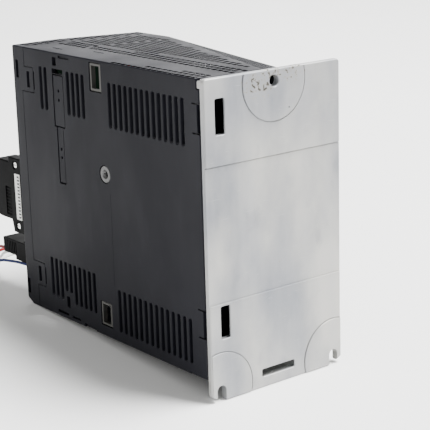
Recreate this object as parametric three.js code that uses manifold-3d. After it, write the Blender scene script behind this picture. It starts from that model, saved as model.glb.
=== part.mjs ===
// A wall-mounted servo drive: cast aluminium heatsink plate, ventilated plastic casing,
// latched front cover with sockets, display door and keys, boards, fan, plugs and three loose wires.
// Millimetres. +Z is up, the front faces -Y, the mounting plate is at the back, the width runs along X.
// Pieces are placed with y measured backwards from the front face; one group offset centres the part.
import * as THREE from 'three';
import { mergeVertices } from 'three/addons/utils/BufferGeometryUtils.js';
import Module from 'manifold-3d';

const wasm = await Module();
wasm.setup();

// ---------- driving dimensions ----------
const width = 90;
const height = 168;
const depth = 180;
const gap = 0.3; // clearance between touching pieces
const wall = 2.2; // casing and cover wall
const floorZ = 11.6; // underside of the casing
const half = width / 2;

const plate = { thick: 3.5, holeD: 6, edge: 6, slotW: 6, padR: 20.5, padRise: 0.4, bandStep: 0.5 };
plate.bandLow = 52.5;
plate.bandHigh = height - 44;
const plateFront = depth - plate.padRise - plate.thick;
const casingEnd = plateFront - gap;
const inner = half - wall;
const roof = height - wall;
const floorIn = floorZ + wall;

// openings in the plate: windows beside the right edge and a low slot in the middle
const plateWindow = { inset: 9.8, w: 6, round: 0.8, upper: [height - 28.6, height - 10.3] };
plateWindow.lower = [33.4, 51];
plateWindow.lowerShift = 0.3;
const plateSlot = { w: 22.6, low: 6, high: 10.2 };
const cornerLug = { across: 2.4, reach: 1.8, tall: 4, below: 1 };

const fan = { size: 40, thick: 15, hub: 9, tip: 17.4, blades: 7, bladeW: 8.8, bladeT: 1.4, pitchDeg: 38 };
fan.y = plateFront - fan.size / 2 - 2 * gap;
fan.play = 0.8; // between the blades' tips and the frame
fan.motor = 2.4; // height of the motor mount under the rotor

const fins = { reach: 40, thick: 2, pitch: 9, base: 4, margin: 1, high: height - 18 };
fins.low = floorIn + gap + fan.thick + 1.9;
fins.count = 2 * Math.floor((inner - fins.margin - fins.thick / 2) / fins.pitch) + 1;
const finFront = plateFront - fins.reach;

const seam = { top: 12.4, middle: 9.3, low: 13.2, tab: 21.7, tabH: 14, lowerTab: 33 };
seam.upperTab = height - 18.4;
seam.latch = { y: 15.9, w: 1, tall: 9.2 };
const chin = { back: 6, rise: 3.2 };
const vent = { width: 2.7, pitch: 4.9, tall: 24.4, round: 0.9, lowTall: 23.6, shortTall: 17.6 };
const frameLug = { sheet: 1, centreY: 85.5, width: 10.4, upperZ: height - 9.5, upperH: 15.2 };
frameLug.lowerZ = 25;
frameLug.lowerH = 13.6;
frameLug.rim = { front: 2.2, back: 2.8, low: 1.7, high: 1.9, below: 0.4 };
const sideScrew = { d: 9.6, y: 90.5, z: 106.1, thick: 2, shankD: 3.6, shank: 6, slotW: 1, slotL: 4.8 };
const clip = { upperZ: height - 20, lowerZ: 41.6, tall: 15.6, step: 2.6, cutW: 0.7, cutL: 6, sunk: 1.4 };
const guide = { y: 47.7, w: 11, low: height - 42.2, high: height - 11.9, pocket: 2.7, sunk: 0.8 };
guide.narrowW = 6.8;
guide.narrowLow = height - 74.7;

const display = { x: -7, z: height - 20.5, w: 25, h: 13, doorW: 47, doorH: 25.5, recess: 6.2, floor: 2 };
display.clear = 0.5;
display.boardT = 1.6;
display.boardH = 22;
display.tubHalf = display.doorW / 2 + display.clear + wall;
const door = { thick: 1.6, front: 0.5, axleY: 1.7, barrelR: 1.2, pinR: 0.7, pinOut: 1.6, nailW: 10 };
door.z = display.z + display.doorH / 2 - 1.3; // the hinge axis
const key = { d: 4, stroke: 0.8, firstX: 9.5, pitch: 4.9, count: 3, flange: 5.6, flangeW: 4.2, flangeT: 1 };
const lamp = { r: 2, flangeR: 3, flangeT: 1.5, z: display.z - 0.5, out: 0.4 };
lamp.x = -(display.tubHalf + inner) / 2;

const board = { thick: 1.6, controlY: 26, powerY: finFront - 24.1, margin: 4, lift: 8 };
const post = { r: 3, inset: 5, fromEdge: 4 };
const powerModule = { halfW: inner - 12.8, low: 50, high: 112 };
const capacitor = { d: 30, long: 58, below: 2 };
capacitor.x = capacitor.d / 2 + 3;
capacitor.z = sideScrew.z - sideScrew.shankD / 2 - capacitor.below - capacitor.d / 2;
const resistor = { halfW: inner - 14.8, deep: 22, low: 40, high: 58 };

const socket = { wall: 1.6, back: 3, bladeW: 1.2, bladeH: 2.4, bladeFront: 6 };
const plug = { x: half - 12, z: 74, thick: 14, tall: 47, out: 43, nose: 6, start: -1.2, shoulder: 5 };
plug.step = { back: 20.8, upper: 3, lower: 7.5 }; // beyond it the shells are less tall
plug.shell = 1.6;
plug.outletR = 4.2;
plug.noseInset = { x: 3.4, z: 4.2 };
plug.screw = { r: 1.7, inset: 4.4, back: 13.6, slotW: 0.7 };
plug.label = { front: 14.7, back: 8.7, low: 8.7, high: 9.7, thick: 0.4 };
plug.grip = { front: 26, back: 19.5, low: 10, high: 19, sunk: 0.8 };
const feeder = { x: half - 11, low: 32.6, high: 44.8, wide: 12, out: 34.5, stepY: 20.5, stepUp: 2.5 };
const relay = { x: half - 8.5, z: 29.4, wide: 9, tall: 5.4, out: 3 };
const wireD = 1.8;
const ferrule = { collarR: 1.4, collar: 6, pinR: 0.8, pin: 8 };

// ---------- solids ----------
const toSolid = (geometry) => {
  const loose = geometry.index ? geometry.toNonIndexed() : geometry;
  const bare = new THREE.BufferGeometry();
  bare.setAttribute('position', loose.getAttribute('position'));
  const merged = mergeVertices(bare, 1e-4);
  return new wasm.Manifold(new wasm.Mesh({
    numProp: 3,
    vertProperties: new Float32Array(merged.getAttribute('position').array),
    triVerts: new Uint32Array(merged.index.array),
  }));
};

const box = (x0, x1, y0, y1, z0, z1) => {
  const geometry = new THREE.BoxGeometry(x1 - x0, y1 - y0, z1 - z0);
  geometry.translate((x0 + x1) / 2, (y0 + y1) / 2, (z0 + z1) / 2);
  return toSolid(geometry);
};

// the two ends of a stretch of some size about a middle, with an allowance at each end
const about = (middle, size, allowance = 0) => {
  const reach = size / 2 + allowance;
  return [middle - reach, middle + reach];
};

const outline = (points) => new THREE.Shape(points.map(([a, b]) => new THREE.Vector2(a, b)));

const extrude = (shape, length, basis, origin) => {
  const geometry = new THREE.ExtrudeGeometry(shape, { depth: length, bevelEnabled: false });
  geometry.applyMatrix4(new THREE.Matrix4().makeBasis(...basis));
  geometry.translate(...origin);
  return toSolid(geometry);
};

const axisX = new THREE.Vector3(1, 0, 0);
const axisY = new THREE.Vector3(0, 1, 0);
const axisZ = new THREE.Vector3(0, 0, 1);
const frontward = axisY.clone().negate();
// outlines: (y, z) along X, (x, z) along Y and (x, y) along Z
const alongX = (shape, x0, x1) => extrude(shape, x1 - x0, [axisY, axisZ, axisX], [x0, 0, 0]);
const alongY = (shape, y0, y1) => extrude(shape, y1 - y0, [axisX, axisZ, frontward], [0, y1, 0]);
const alongZ = (shape, z0, z1) => extrude(shape, z1 - z0, [axisX, axisY, axisZ], [0, 0, z0]);

const circle = (a, b, radius, sides = 24) => {
  const turn = (2 * Math.PI) / sides;
  return outline(Array.from({ length: sides }, (_, i) => [
    a + radius * Math.cos(i * turn),
    b + radius * Math.sin(i * turn),
  ]));
};

const chamfered = (a0, a1, b0, b1, cut) => outline([
  [a0 + cut, b0], [a1 - cut, b0], [a1, b0 + cut], [a1, b1 - cut],
  [a1 - cut, b1], [a0 + cut, b1], [a0, b1 - cut], [a0, b0 + cut],
]);

const join = (solids) => wasm.Manifold.union(solids);
const cutAll = (body, cutters) => body.subtract(join(cutters));

// ---------- scene ----------
const finishes = {
  castAluminium: { color: 0xbfc1c3, roughness: 0.5, metalness: 0.8 },
  charcoalPlastic: { color: 0x3b3c40, roughness: 0.62, metalness: 0 },
  blackPlastic: { color: 0x17171a, roughness: 0.5, metalness: 0 },
  smokedWindow: { color: 0x2a2624, roughness: 0.15, metalness: 0 },
  sheetSteel: { color: 0x9a9a93, roughness: 0.45, metalness: 0.9 },
  nickel: { color: 0xc9cbce, roughness: 0.3, metalness: 1 },
  greenBoard: { color: 0x1d5a3a, roughness: 0.5, metalness: 0 },
  greyPlastic: { color: 0x8e9196, roughness: 0.55, metalness: 0 },
  whiteLabel: { color: 0xe9e9e4, roughness: 0.6, metalness: 0 },
  redLens: { color: 0xa11a14, roughness: 0.25, metalness: 0 },
  capacitorSleeve: { color: 0x1d2433, roughness: 0.4, metalness: 0 },
  redWire: { color: 0x8c1318, roughness: 0.45, metalness: 0 },
  whiteWire: { color: 0xdedfda, roughness: 0.5, metalness: 0 },
  blueWire: { color: 0x12225e, roughness: 0.45, metalness: 0 },
};

const part = new THREE.Group();
part.name = 'servo_drive';

const addGeometry = (name, geometry, finish) => {
  const mesh = new THREE.Mesh(geometry, new THREE.MeshStandardMaterial(finishes[finish]));
  mesh.name = name;
  part.add(mesh);
};

const add = (name, solid, finish) => {
  const mesh = solid.getMesh();
  const geometry = new THREE.BufferGeometry();
  geometry.setAttribute('position', new THREE.BufferAttribute(new Float32Array(mesh.vertProperties), 3));
  geometry.setIndex(new THREE.BufferAttribute(new Uint32Array(mesh.triVerts), 1));
  const flat = geometry.toNonIndexed();
  flat.computeVertexNormals();
  addGeometry(name, flat, finish);
};

// ---------- heatsink: mounting plate, fins and the base the power module sits on ----------
const upperHole = { x: 0, z: height - plate.edge };
const lowerSlots = [-1, 1].map((side) => ({ x: side * (half - plate.edge), z: plate.edge }));

function plateOutline() {
  const fingerCut = plate.edge / 2; // the outer fingers beside the slots end above the foot
  const corner = 1;
  return outline([
    [-half + corner, fingerCut], [-half + plate.edge, 0], [half - plate.edge, 0], [half - corner, fingerCut],
    [half, fingerCut + corner], [half, height - corner], [half - corner, height],
    [-half + corner, height], [-half, height - corner], [-half, fingerCut + corner],
  ]);
}

function plateOpenings() {
  const through = (shape) => alongY(shape, casingEnd - 1, depth + 1);
  const window = (x, [low, high]) => (
    through(chamfered(...about(x, plateWindow.w), low, high, plateWindow.round))
  );
  const windowX = half - plateWindow.inset;
  const slots = lowerSlots.flatMap(({ x, z }) => [
    through(circle(x, z, plate.slotW / 2)),
    box(...about(x, plate.slotW), casingEnd - 1, depth + 1, -1, z),
  ]);
  return [
    through(circle(upperHole.x, upperHole.z, plate.holeD / 2)),
    ...slots,
    window(windowX, plateWindow.upper),
    window(windowX - plateWindow.lowerShift, plateWindow.lower),
    through(chamfered(...about(0, plateSlot.w), plateSlot.low, plateSlot.high, plateWindow.round)),
  ];
}

function heatsink() {
  const face = plateFront + plate.thick;
  const back = plateOutline();
  const band = box(-half - 1, half + 1, face - plate.bandStep, face + 1, plate.bandLow, plate.bandHigh);
  const slab = alongY(back, plateFront, face).subtract(band);
  const padLimit = alongY(back, plateFront, depth);
  const pads = [upperHole, ...lowerSlots].map(({ x, z }) => (
    alongY(circle(x, z, plate.padR, 32), face - 1, depth).intersect(padLimit)
  ));
  const finRow = Array.from({ length: fins.count }, (_, i) => {
    const x = (i - (fins.count - 1) / 2) * fins.pitch;
    return box(...about(x, fins.thick), finFront, plateFront + 1, fins.low, fins.high);
  });
  const span = (fins.count - 1) * fins.pitch + fins.thick;
  const base = box(...about(0, span), finFront - fins.base, finFront + 0.5, fins.low, fins.high);
  const lugTop = height - cornerLug.below;
  const lug = box(half - cornerLug.across, half, casingEnd - cornerLug.reach, plateFront + 1,
    lugTop - cornerLug.tall, lugTop);
  add('heatsink', cutAll(join([slab, ...pads, ...finRow, base, lug]), plateOpenings()), 'castAluminium');
}

// ---------- casing and front cover, cut from one shell along the seam ----------
// The roof is level near the right side and falls towards the left rear corner.
const ridge = { frontX: 13, frontY: 38, backX: 7 };
const roofDrop = { frontY: 30, front: 2, back: 14 };
const roofCorner = new THREE.Vector3(-half, roofDrop.frontY, height - roofDrop.front);
const ridgeFront = new THREE.Vector3(ridge.frontX, ridge.frontY, height);
const ridgeBack = new THREE.Vector3(ridge.backX, depth, height);
const roofBack = new THREE.Vector3(-half, depth, height - roofDrop.back);

function lowered(solid, amount) {
  const facets = [[ridgeFront, ridgeBack, roofCorner], [ridgeBack, roofBack, roofCorner]];
  return facets.reduce((body, [a, b, c]) => {
    const normal = new THREE.Vector3().crossVectors(b.clone().sub(a), c.clone().sub(a)).normalize();
    if (normal.z < 0) normal.negate();
    return body.trimByPlane(normal.clone().negate().toArray(), -normal.dot(a) + amount);
  }, solid);
}

// a cut through the right wall
const throughSide = (y, z) => box(inner - 1, half + 1, ...y, ...z);
// a recess of some depth in the right wall
const sunkSide = (sunk, y, z) => box(half - sunk, half + 1, ...y, ...z);

// a row of upright slots through both side walls; the left wall's are lowered where the roof falls
function sideSlots({ first, count, low, tall = vent.tall, leftDrop = 0 }) {
  const slot = (y, drop, x0, x1) => (
    alongX(chamfered(...about(y, vent.width), low - drop, low + tall - drop, vent.round), x0, x1)
  );
  return Array.from({ length: count }, (_, i) => first + i * vent.pitch).flatMap((y) => [
    slot(y, 0, inner - 1, half + 1),
    slot(y, leftDrop, -half - 1, 1 - inner),
  ]);
}

const ventRows = [
  { first: 29.9, count: 2, low: height - 33.7 },
  { first: 57.9, count: 4, low: height - 33.7 },
  { first: 98.2, count: 14, low: height - 35.2, leftDrop: roofDrop.back },
  { first: 30.2, count: 3, low: 22.8, tall: vent.lowTall },
  { first: 44.9, count: 2, low: 28.8, tall: vent.shortTall },
  { first: 54.7, count: 5, low: 22.8, tall: vent.lowTall },
  { first: 98.9, count: 14, low: 17.8 },
];

// rows of long slots through the roof
const roofFields = [
  { x: [-half + 12, 3], y: [46, 162], long: 35 },
  { x: [-half + 12, 21], y: [19, 40], long: 21 },
  { x: [15, 21], y: [46, 162], long: 35 },
  { x: [half - 12, half - 6], y: [140, 165], long: 22 },
  { x: [-half + 12, half - 6], y: [3.5, 9], long: 6 },
];
const roofSlot = { w: 2.4, pitch: 6, web: 3 };

function roofSlots({ x: [x0, x1], y: [y0, y1], long }) {
  const columns = Math.floor((x1 - x0) / roofSlot.pitch) + 1;
  const rows = Math.max(1, Math.floor((y1 - y0 + roofSlot.web) / (long + roofSlot.web)));
  return Array.from({ length: columns * rows }, (_, i) => {
    const x = x0 + (i % columns) * roofSlot.pitch;
    const y = y0 + Math.floor(i / columns) * (long + roofSlot.web);
    return box(...about(x, roofSlot.w), y, y + long, roof - 20, height + 1);
  });
}

function seamOutline(offset) {
  const [upper, lower] = [seam.upperTab, seam.lowerTab].map((z) => about(z, seam.tabH, offset).reverse());
  return [
    [seam.top + offset, height + 1], [seam.top + offset, upper[0]],
    [seam.tab + offset, upper[0]], [seam.tab + offset, upper[1]],
    [seam.middle + offset, upper[1]], [seam.middle + offset, lower[0]],
    [seam.tab + offset, lower[0]], [seam.tab + offset, lower[1]],
    [seam.low + offset, lower[1]], [seam.low + offset, floorZ - 1],
  ];
}

function shell() {
  const side = outline([
    [chin.back, floorZ], [casingEnd, floorZ], [casingEnd, height], [0, height], [0, floorZ + chin.rise],
  ]);
  const outer = lowered(alongX(side, -half, half), 0);
  const cavity = lowered(box(-inner, inner, wall + gap, depth, floorIn, roof), wall);
  const holes = [
    throughSide([44.6, 47.8], [19, 25.8]),
    throughSide([43.2, 46.9], [height - 7.5, height - 2.5]),
    throughSide([62.4, 74.4], [floorZ - 1, floorIn + 0.2]),
    sunkSide(wall - 0.5, [34.3, 45.7], [13.9, 15.2]),
    sunkSide(wall - 0.5, [49.5, 58.3], [13.9, 15.2]),
    sunkSide(1, [161.6, depth], [floorZ - 1, floorZ + 1.2]),
    sunkSide(0.8, [49.4, 60.4], [height - 2.8, height - 1.2]),
    box(...about(half - 9.8, 1.2), 29, 39, roof - 1, height + 1),
    box(...about(half - 16.8, 1.2), 60, 70, roof - 1, height + 1),
  ];
  return cutAll(outer.subtract(cavity), [
    ...ventRows.flatMap(sideSlots), ...roofFields.flatMap(roofSlots), ...holes,
  ]);
}

function casing(whole) {
  const rear = outline([...seamOutline(gap), [depth, floorZ - 1], [depth, height + 1]]);
  const lugWindow = (z, tall) => (
    throughSide(about(frameLug.centreY, frameLug.width, gap), about(z, tall, gap))
  );
  const clipCuts = (z) => [
    sunkSide(clip.sunk, [casingEnd - clip.step, depth], about(z, clip.tall)),
    ...about(z, clip.tall - clip.cutW).map((at) => (
      throughSide([casingEnd - clip.cutL, depth], about(at, clip.cutW)))),
  ];
  const guideCuts = [
    sunkSide(guide.sunk, about(guide.y, guide.w), [guide.low, guide.high]),
    sunkSide(guide.sunk, about(guide.y, guide.narrowW), [guide.narrowLow, guide.low + 0.2]),
    throughSide(about(guide.y, guide.w), [guide.high, guide.high + guide.pocket]),
  ];
  const lugRoom = box(half - cornerLug.across - gap, half + 1, casingEnd - cornerLug.reach - gap, depth,
    height - cornerLug.below - cornerLug.tall - gap, height + 1);
  const floorSlots = [-24, -12, 0, 12, 24].map((x) => box(...about(x, 4), 40, 100, floorZ - 1, floorIn + 1));
  const body = cutAll(whole.intersect(alongX(rear, -half - 1, half + 1)), [
    lugWindow(frameLug.upperZ, frameLug.upperH),
    lugWindow(frameLug.lowerZ, frameLug.lowerH),
    ...clipCuts(clip.upperZ), ...clipCuts(clip.lowerZ), ...guideCuts, lugRoom, ...floorSlots,
    alongX(circle(sideScrew.y, sideScrew.z, sideScrew.d / 2 + gap), inner - 1, half + 1),
    alongZ(circle(0, fan.y, fan.tip), floorZ - 1, floorIn + 1),
  ]);
  const barReach = 2 * fan.tip + 2;
  const bars = [
    box(...about(0, barReach), ...about(fan.y, 2.4), floorZ, floorIn),
    box(...about(0, 2.4), ...about(fan.y, barReach), floorZ, floorIn),
  ];
  add('casing', join([body, ...bars]), 'charcoalPlastic');
}

// sockets seen from the front: middle, size, contacts and finish
const leftX = -half + 14;
const middleX = 6;
const sockets = [
  { name: 'mains_socket', x: leftX, z: 106, w: 16, h: 46, pins: 5, finish: 'blackPlastic' },
  { name: 'control_supply_socket', x: leftX, z: 69, w: 16, h: 24, pins: 3, finish: 'blackPlastic' },
  { name: 'motor_socket', x: leftX, z: 37, w: 16, h: 34, pins: 4, finish: 'blackPlastic' },
  { name: 'io_socket', x: plug.x, z: plug.z, w: plug.thick, h: plug.tall, pins: 0, finish: 'greyPlastic' },
  { name: 'encoder_socket', x: middleX, z: 56, w: 12, h: 24, pins: 1, finish: 'greyPlastic' },
  { name: 'network_socket', x: middleX, z: 92, w: 14, h: 24, pins: 1, finish: 'greyPlastic' },
];
const feederZ = (feeder.low + feeder.high) / 2;
sockets.push(
  { name: 'feeder_socket', x: feeder.x, z: feederZ, w: 14, h: 13, pins: 0, finish: 'greyPlastic' },
  { name: 'relay_socket', x: relay.x, z: relay.z - 5.5, w: 11, h: 13, pins: 0, finish: 'greyPlastic' },
);
const usb = { x: half - 11, z: plug.z + plug.tall / 2 + 14.5, w: 9, h: 12, wall: 0.8, deep: 12 };
usb.tongue = { w: 2, h: 7 };
const coverCut = 5; // how deep the cover's openings are cut, past its wall

function frontCover(whole) {
  const front = outline([[-1, floorZ - 1], [-1, height + 1], ...seamOutline(0)]);
  const bay = {
    x: about(0, display.doorW, display.clear),
    z: about(display.z, display.doorH, display.clear),
  };
  const deep = display.recess + display.floor;
  const tub = box(bay.x[0] - wall, bay.x[1] + wall, 0, deep, bay.z[0] - wall, bay.z[1] + wall);
  const opening = ({ x, z, w, h }) => box(...about(x, w, gap), -1, coverCut, ...about(z, h, gap));
  const keyHoles = Array.from({ length: key.count }, (_, i) => (
    alongY(circle(key.firstX + i * key.pitch, display.z, key.d / 2 + gap, 16), 1, deep + 1)
  ));
  const latches = [seam.upperTab, seam.lowerTab].map((z) => (
    throughSide(about(seam.latch.y, seam.latch.w), about(z, seam.latch.tall))
  ));
  const hinge = circle(door.axleY, door.z, door.pinR + gap, 12);
  const openings = [
    box(...bay.x, -1, display.recess, ...bay.z),
    alongX(hinge, bay.x[0] - door.pinOut, bay.x[1] + door.pinOut),
    box(...about(display.x, display.w, gap), 1, deep + 1, ...about(display.z, display.h, gap)),
    ...keyHoles, ...sockets.map(opening), opening(usb), ...latches,
    alongY(circle(lamp.x, lamp.z, lamp.r + gap, 16), -1, coverCut),
    sunkSide(1.5, [3.2, 6], [height - 18.6, height - 8.2]),
    sunkSide(1.5, [1.2, 4], [17, 27.3]),
  ];
  const body = whole.intersect(alongX(front, -half - 1, half + 1));
  add('front_cover', cutAll(join([body, tub]), openings), 'charcoalPlastic');
}

function frontSockets() {
  const boardFace = board.controlY - gap;
  const floorY = boardFace - socket.back;
  for (const { name, x, z, w, h, pins, finish } of sockets) {
    const body = box(...about(x, w), 0, boardFace, ...about(z, h));
    const mouth = box(...about(x, w, -socket.wall), -1, floorY, ...about(z, h, -socket.wall));
    const pitch = (h - 2 * socket.wall) / Math.max(pins, 1);
    const blades = Array.from({ length: pins }, (_, i) => {
      const bladeZ = z + (i - (pins - 1) / 2) * pitch;
      const bladeX = about(x, socket.bladeW);
      return box(...bladeX, socket.bladeFront, floorY + 0.5, ...about(bladeZ, socket.bladeH));
    });
    add(name, join([body.subtract(mouth), ...blades]), finish);
  }
  const { x, z, w, h } = usb;
  const port = box(...about(x, w), 0, boardFace, ...about(z, h))
    .subtract(box(...about(x, w, -usb.wall), -1, usb.deep, ...about(z, h, -usb.wall)));
  const tongue = box(...about(x, usb.tongue.w), 3, usb.deep + 0.5, ...about(z, usb.tongue.h));
  add('usb_port', join([port, tongue]), 'nickel');
}

// ---------- display, keys and the hinged door over them ----------
function displayUnit() {
  const flangeY = display.recess + display.floor + gap;
  const switchY = flangeY + key.flangeT + key.stroke + gap;
  const window = { x: about(display.x, display.w), z: about(display.z, display.h) };
  add('display_module', box(...window.x, flangeY - 1.5, switchY - gap, ...window.z), 'smokedWindow');
  const boardX = about(0, display.doorW, -1);
  const boardZ = about(display.z, display.boardH);
  add('display_board', box(...boardX, switchY, switchY + display.boardT, ...boardZ), 'greenBoard');
  ['key_mode', 'key_up', 'key_set'].forEach((name, i) => {
    const x = key.firstX + i * key.pitch;
    const stem = alongY(circle(x, display.z, key.d / 2, 16), display.recess - 2, flangeY + 0.5);
    const flangeX = about(x, key.flangeW);
    const flange = box(...flangeX, flangeY, flangeY + key.flangeT, ...about(display.z, key.flange));
    add(name, join([stem, flange]), 'greyPlastic');
  });
}

function displayDoor() {
  const [left, right] = about(0, display.doorW);
  const low = display.z - display.doorH / 2;
  const axle = (radius, reach, sides) => (
    alongX(circle(door.axleY, door.z, radius, sides), left - reach, right + reach)
  );
  const leaf = box(left, right, door.front, door.front + door.thick, low, door.z);
  const nail = box(...about(0, door.nailW), -lamp.out, 1, low, low + door.thick);
  const whole = join([leaf, axle(door.barrelR, 0, 16), axle(door.pinR, door.pinOut, 12), nail]);
  add('display_door', whole, 'smokedWindow');
}

function chargeLamp() {
  const round = (radius, y0, y1) => alongY(circle(lamp.x, lamp.z, radius, 16), y0, y1);
  const seat = wall + 2 * gap;
  const lens = join([round(lamp.r, -lamp.out, seat + 0.5), round(lamp.flangeR, seat, seat + lamp.flangeT)]);
  add('charge_lamp', lens, 'redLens');
}

// ---------- boards, power parts and what holds them ----------
function boards() {
  const x = inner - board.margin;
  const low = floorIn + board.lift;
  const high = display.z - display.doorH / 2 - 1.25;
  const upright = (y, top) => box(-x, x, y, y + board.thick, low, top);
  add('control_board', upright(board.controlY, high), 'greenBoard');
  add('power_board', upright(board.powerY, high + 6), 'greenBoard');
  const postX = x - post.fromEdge;
  const postZ = [low + post.inset, high - post.inset];
  const postY = [board.controlY + board.thick + gap, board.powerY - gap];
  const posts = postZ.flatMap((z) => [[-postX, z], [postX, z]]);
  posts.forEach(([px, pz], i) => {
    add(`board_pillar_${i + 1}`, alongY(circle(px, pz, post.r, 6), ...postY), 'nickel');
  });
  const moduleY = [board.powerY + board.thick + gap, finFront - fins.base - gap];
  const moduleX = [-powerModule.halfW, powerModule.halfW];
  add('power_module', box(...moduleX, ...moduleY, powerModule.low, powerModule.high), 'blackPlastic');
  const end = board.powerY - gap;
  for (const [name, side] of [['capacitor_left', -1], ['capacitor_right', 1]]) {
    const section = circle(side * capacitor.x, capacitor.z, capacitor.d / 2, 20);
    add(name, alongY(section, end - capacitor.long, end), 'capacitorSleeve');
  }
  const brakeX = [-resistor.halfW, resistor.halfW];
  const brake = box(...brakeX, end + gap - resistor.deep, end, resistor.low, resistor.high);
  add('braking_resistor', brake, 'greyPlastic');
}

function chassis() {
  const face = inner - gap;
  const sheet = box(face - frameLug.sheet, face, 76, 95, floorIn + gap, roof - gap);
  const { rim } = frameLug;
  const frame = (z, tall) => {
    const [front, back] = about(frameLug.centreY, frameLug.width);
    const [low, high] = about(z, tall);
    const window = [front + rim.front, back - rim.back, low + rim.low, high - rim.high];
    return box(face - 0.5, half - rim.below, front, back, low, high)
      .subtract(box(face - 3, half + 1, ...window));
  };
  const shankHole = circle(sideScrew.y, sideScrew.z, sideScrew.shankD / 2 + gap, 12);
  const screwHole = alongX(shankHole, face - 3, half + 1);
  const frames = [frame(frameLug.upperZ, frameLug.upperH), frame(frameLug.lowerZ, frameLug.lowerH)];
  add('chassis_sheet', join([sheet, ...frames]).subtract(screwHole), 'sheetSteel');

  const seat = face + gap;
  const round = (r, x0, x1, sides) => alongX(circle(sideScrew.y, sideScrew.z, r, sides), x0, x1);
  const head = round(sideScrew.d / 2, seat, seat + sideScrew.thick, 24);
  const shank = round(sideScrew.shankD / 2, seat - sideScrew.shank, seat + 0.5, 12);
  const slotY = about(sideScrew.y, sideScrew.slotL);
  const slot = box(seat + sideScrew.thick / 2, half + 1, ...slotY, ...about(sideScrew.z, sideScrew.slotW));
  add('side_screw', join([head, shank]).subtract(slot), 'nickel');
}

function coolingFan() {
  const low = floorIn + gap;
  const square = (size, top) => box(...about(0, size), ...about(fan.y, size), low, top);
  const bore = alongZ(circle(0, fan.y, fan.tip + fan.play, 28), low - 1, low + fan.thick + 1);
  const arm = box(...about(0, fan.size - 2), ...about(fan.y, 2.4), low, low + 1.6);
  const motor = alongZ(circle(0, fan.y, fan.hub - 1, 20), low, low + fan.motor);
  add('fan_frame', join([square(fan.size, low + fan.thick).subtract(bore), arm, motor]), 'blackPlastic');
  const rotorLow = low + fan.motor + gap;
  const hub = alongZ(circle(0, fan.y, fan.hub, 20), rotorLow, low + fan.thick - 0.6);
  const bladeZ = rotorLow + fan.bladeW / 2 + 0.6;
  const blades = Array.from({ length: fan.blades }, (_, i) => (
    box(fan.hub - 1, fan.tip, ...about(0, fan.bladeT), ...about(0, fan.bladeW))
      .rotate([fan.pitchDeg, 0, 0])
      .rotate([0, 0, (i * 360) / fan.blades])
      .translate([0, fan.y, bladeZ])
  ));
  add('fan_rotor', join([hub, ...blades]), 'blackPlastic');
}

// ---------- plugs on the front ----------
function ioPlug() {
  const [low, high] = about(plug.z, plug.tall);
  const [far, near] = about(plug.x, plug.thick);
  const { start, shoulder, screw, label, grip, noseInset, step, shell: thin } = plug;
  const bend = -plug.out + 2 * shoulder;
  const top = high - step.upper;
  const foot = low + step.lower;
  const side = outline([
    [start, low + 1], [start, high - 1], [start - 1, high],
    [start - step.back, high], [start - step.back, top], [bend, top], [-plug.out, top - shoulder],
    [-plug.out, foot + shoulder], [bend, foot], [start - step.back, foot],
    [start - step.back + 2, low], [start - 1, low],
  ]);
  const outlet = alongY(circle(plug.x, plug.z, plug.outletR, 20), -plug.out - 1, -plug.out + 12);
  const hollowX = about(plug.x, plug.thick, -thin);
  const hollow = box(...hollowX, start - step.back + 3, start - 6, low + 3, high - 3);
  const rear = box(...hollowX, -plug.out + 10, start - step.back + 4, foot + thin, top - thin);
  const noseX = about(plug.x, plug.thick, -noseInset.x);
  const nose = box(...noseX, start - 8, start + 1, low + noseInset.z, high - noseInset.z);
  const hollows = join([outlet, hollow, rear, nose]);
  const screws = [low + screw.inset, high - screw.inset].map((z) => ({ y: start - screw.back, z }));
  const wells = join(screws.map(({ y, z }) => alongX(circle(y, z, screw.r + gap, 12), far - 1, near + 1)));
  const labelY = [start - label.front, start - label.back];
  const labelZ = [low + label.low, high - label.high];
  const pocketEnds = [labelY[0] - gap, labelY[1] + gap, labelZ[0] - gap, labelZ[1] + gap];
  const pocket = box(near - label.thick - gap, near + 1, ...pocketEnds);
  const gripCut = box(near - grip.sunk, near + 1, start - grip.front, start - grip.back,
    low + grip.low, high - grip.high);
  const shellOf = (x0, x1) => alongX(side, x0, x1).subtract(hollows).subtract(wells);
  const right = shellOf(plug.x + gap / 2, near).subtract(pocket).subtract(gripCut);
  add('io_plug_shell_right', right, 'blackPlastic');
  add('io_plug_shell_left', shellOf(far, plug.x - gap / 2), 'blackPlastic');
  add('io_plug_label', box(near - label.thick, near - 0.1, ...labelY, ...labelZ), 'whiteLabel');
  screws.forEach(({ y, z }, i) => {
    const body = alongX(circle(y, z, screw.r, 12), far + 1, near - 0.5);
    const slot = box(near - 1.2, near + 1, ...about(y, screw.slotW), ...about(z, 4));
    add(`io_plug_screw_${i + 1}`, body.subtract(slot), 'nickel');
  });
  const insertX = about(plug.x, plug.thick, -noseInset.x - gap);
  const insertZ = about(plug.z, plug.tall, -noseInset.z - gap);
  const contacts = box(...about(plug.x, 3.2), 0, plug.nose + 1, low + 7, high - 7);
  add('io_plug_insert', box(...insertX, start - 5.6, plug.nose, ...insertZ).subtract(contacts), 'nickel');
}

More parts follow.
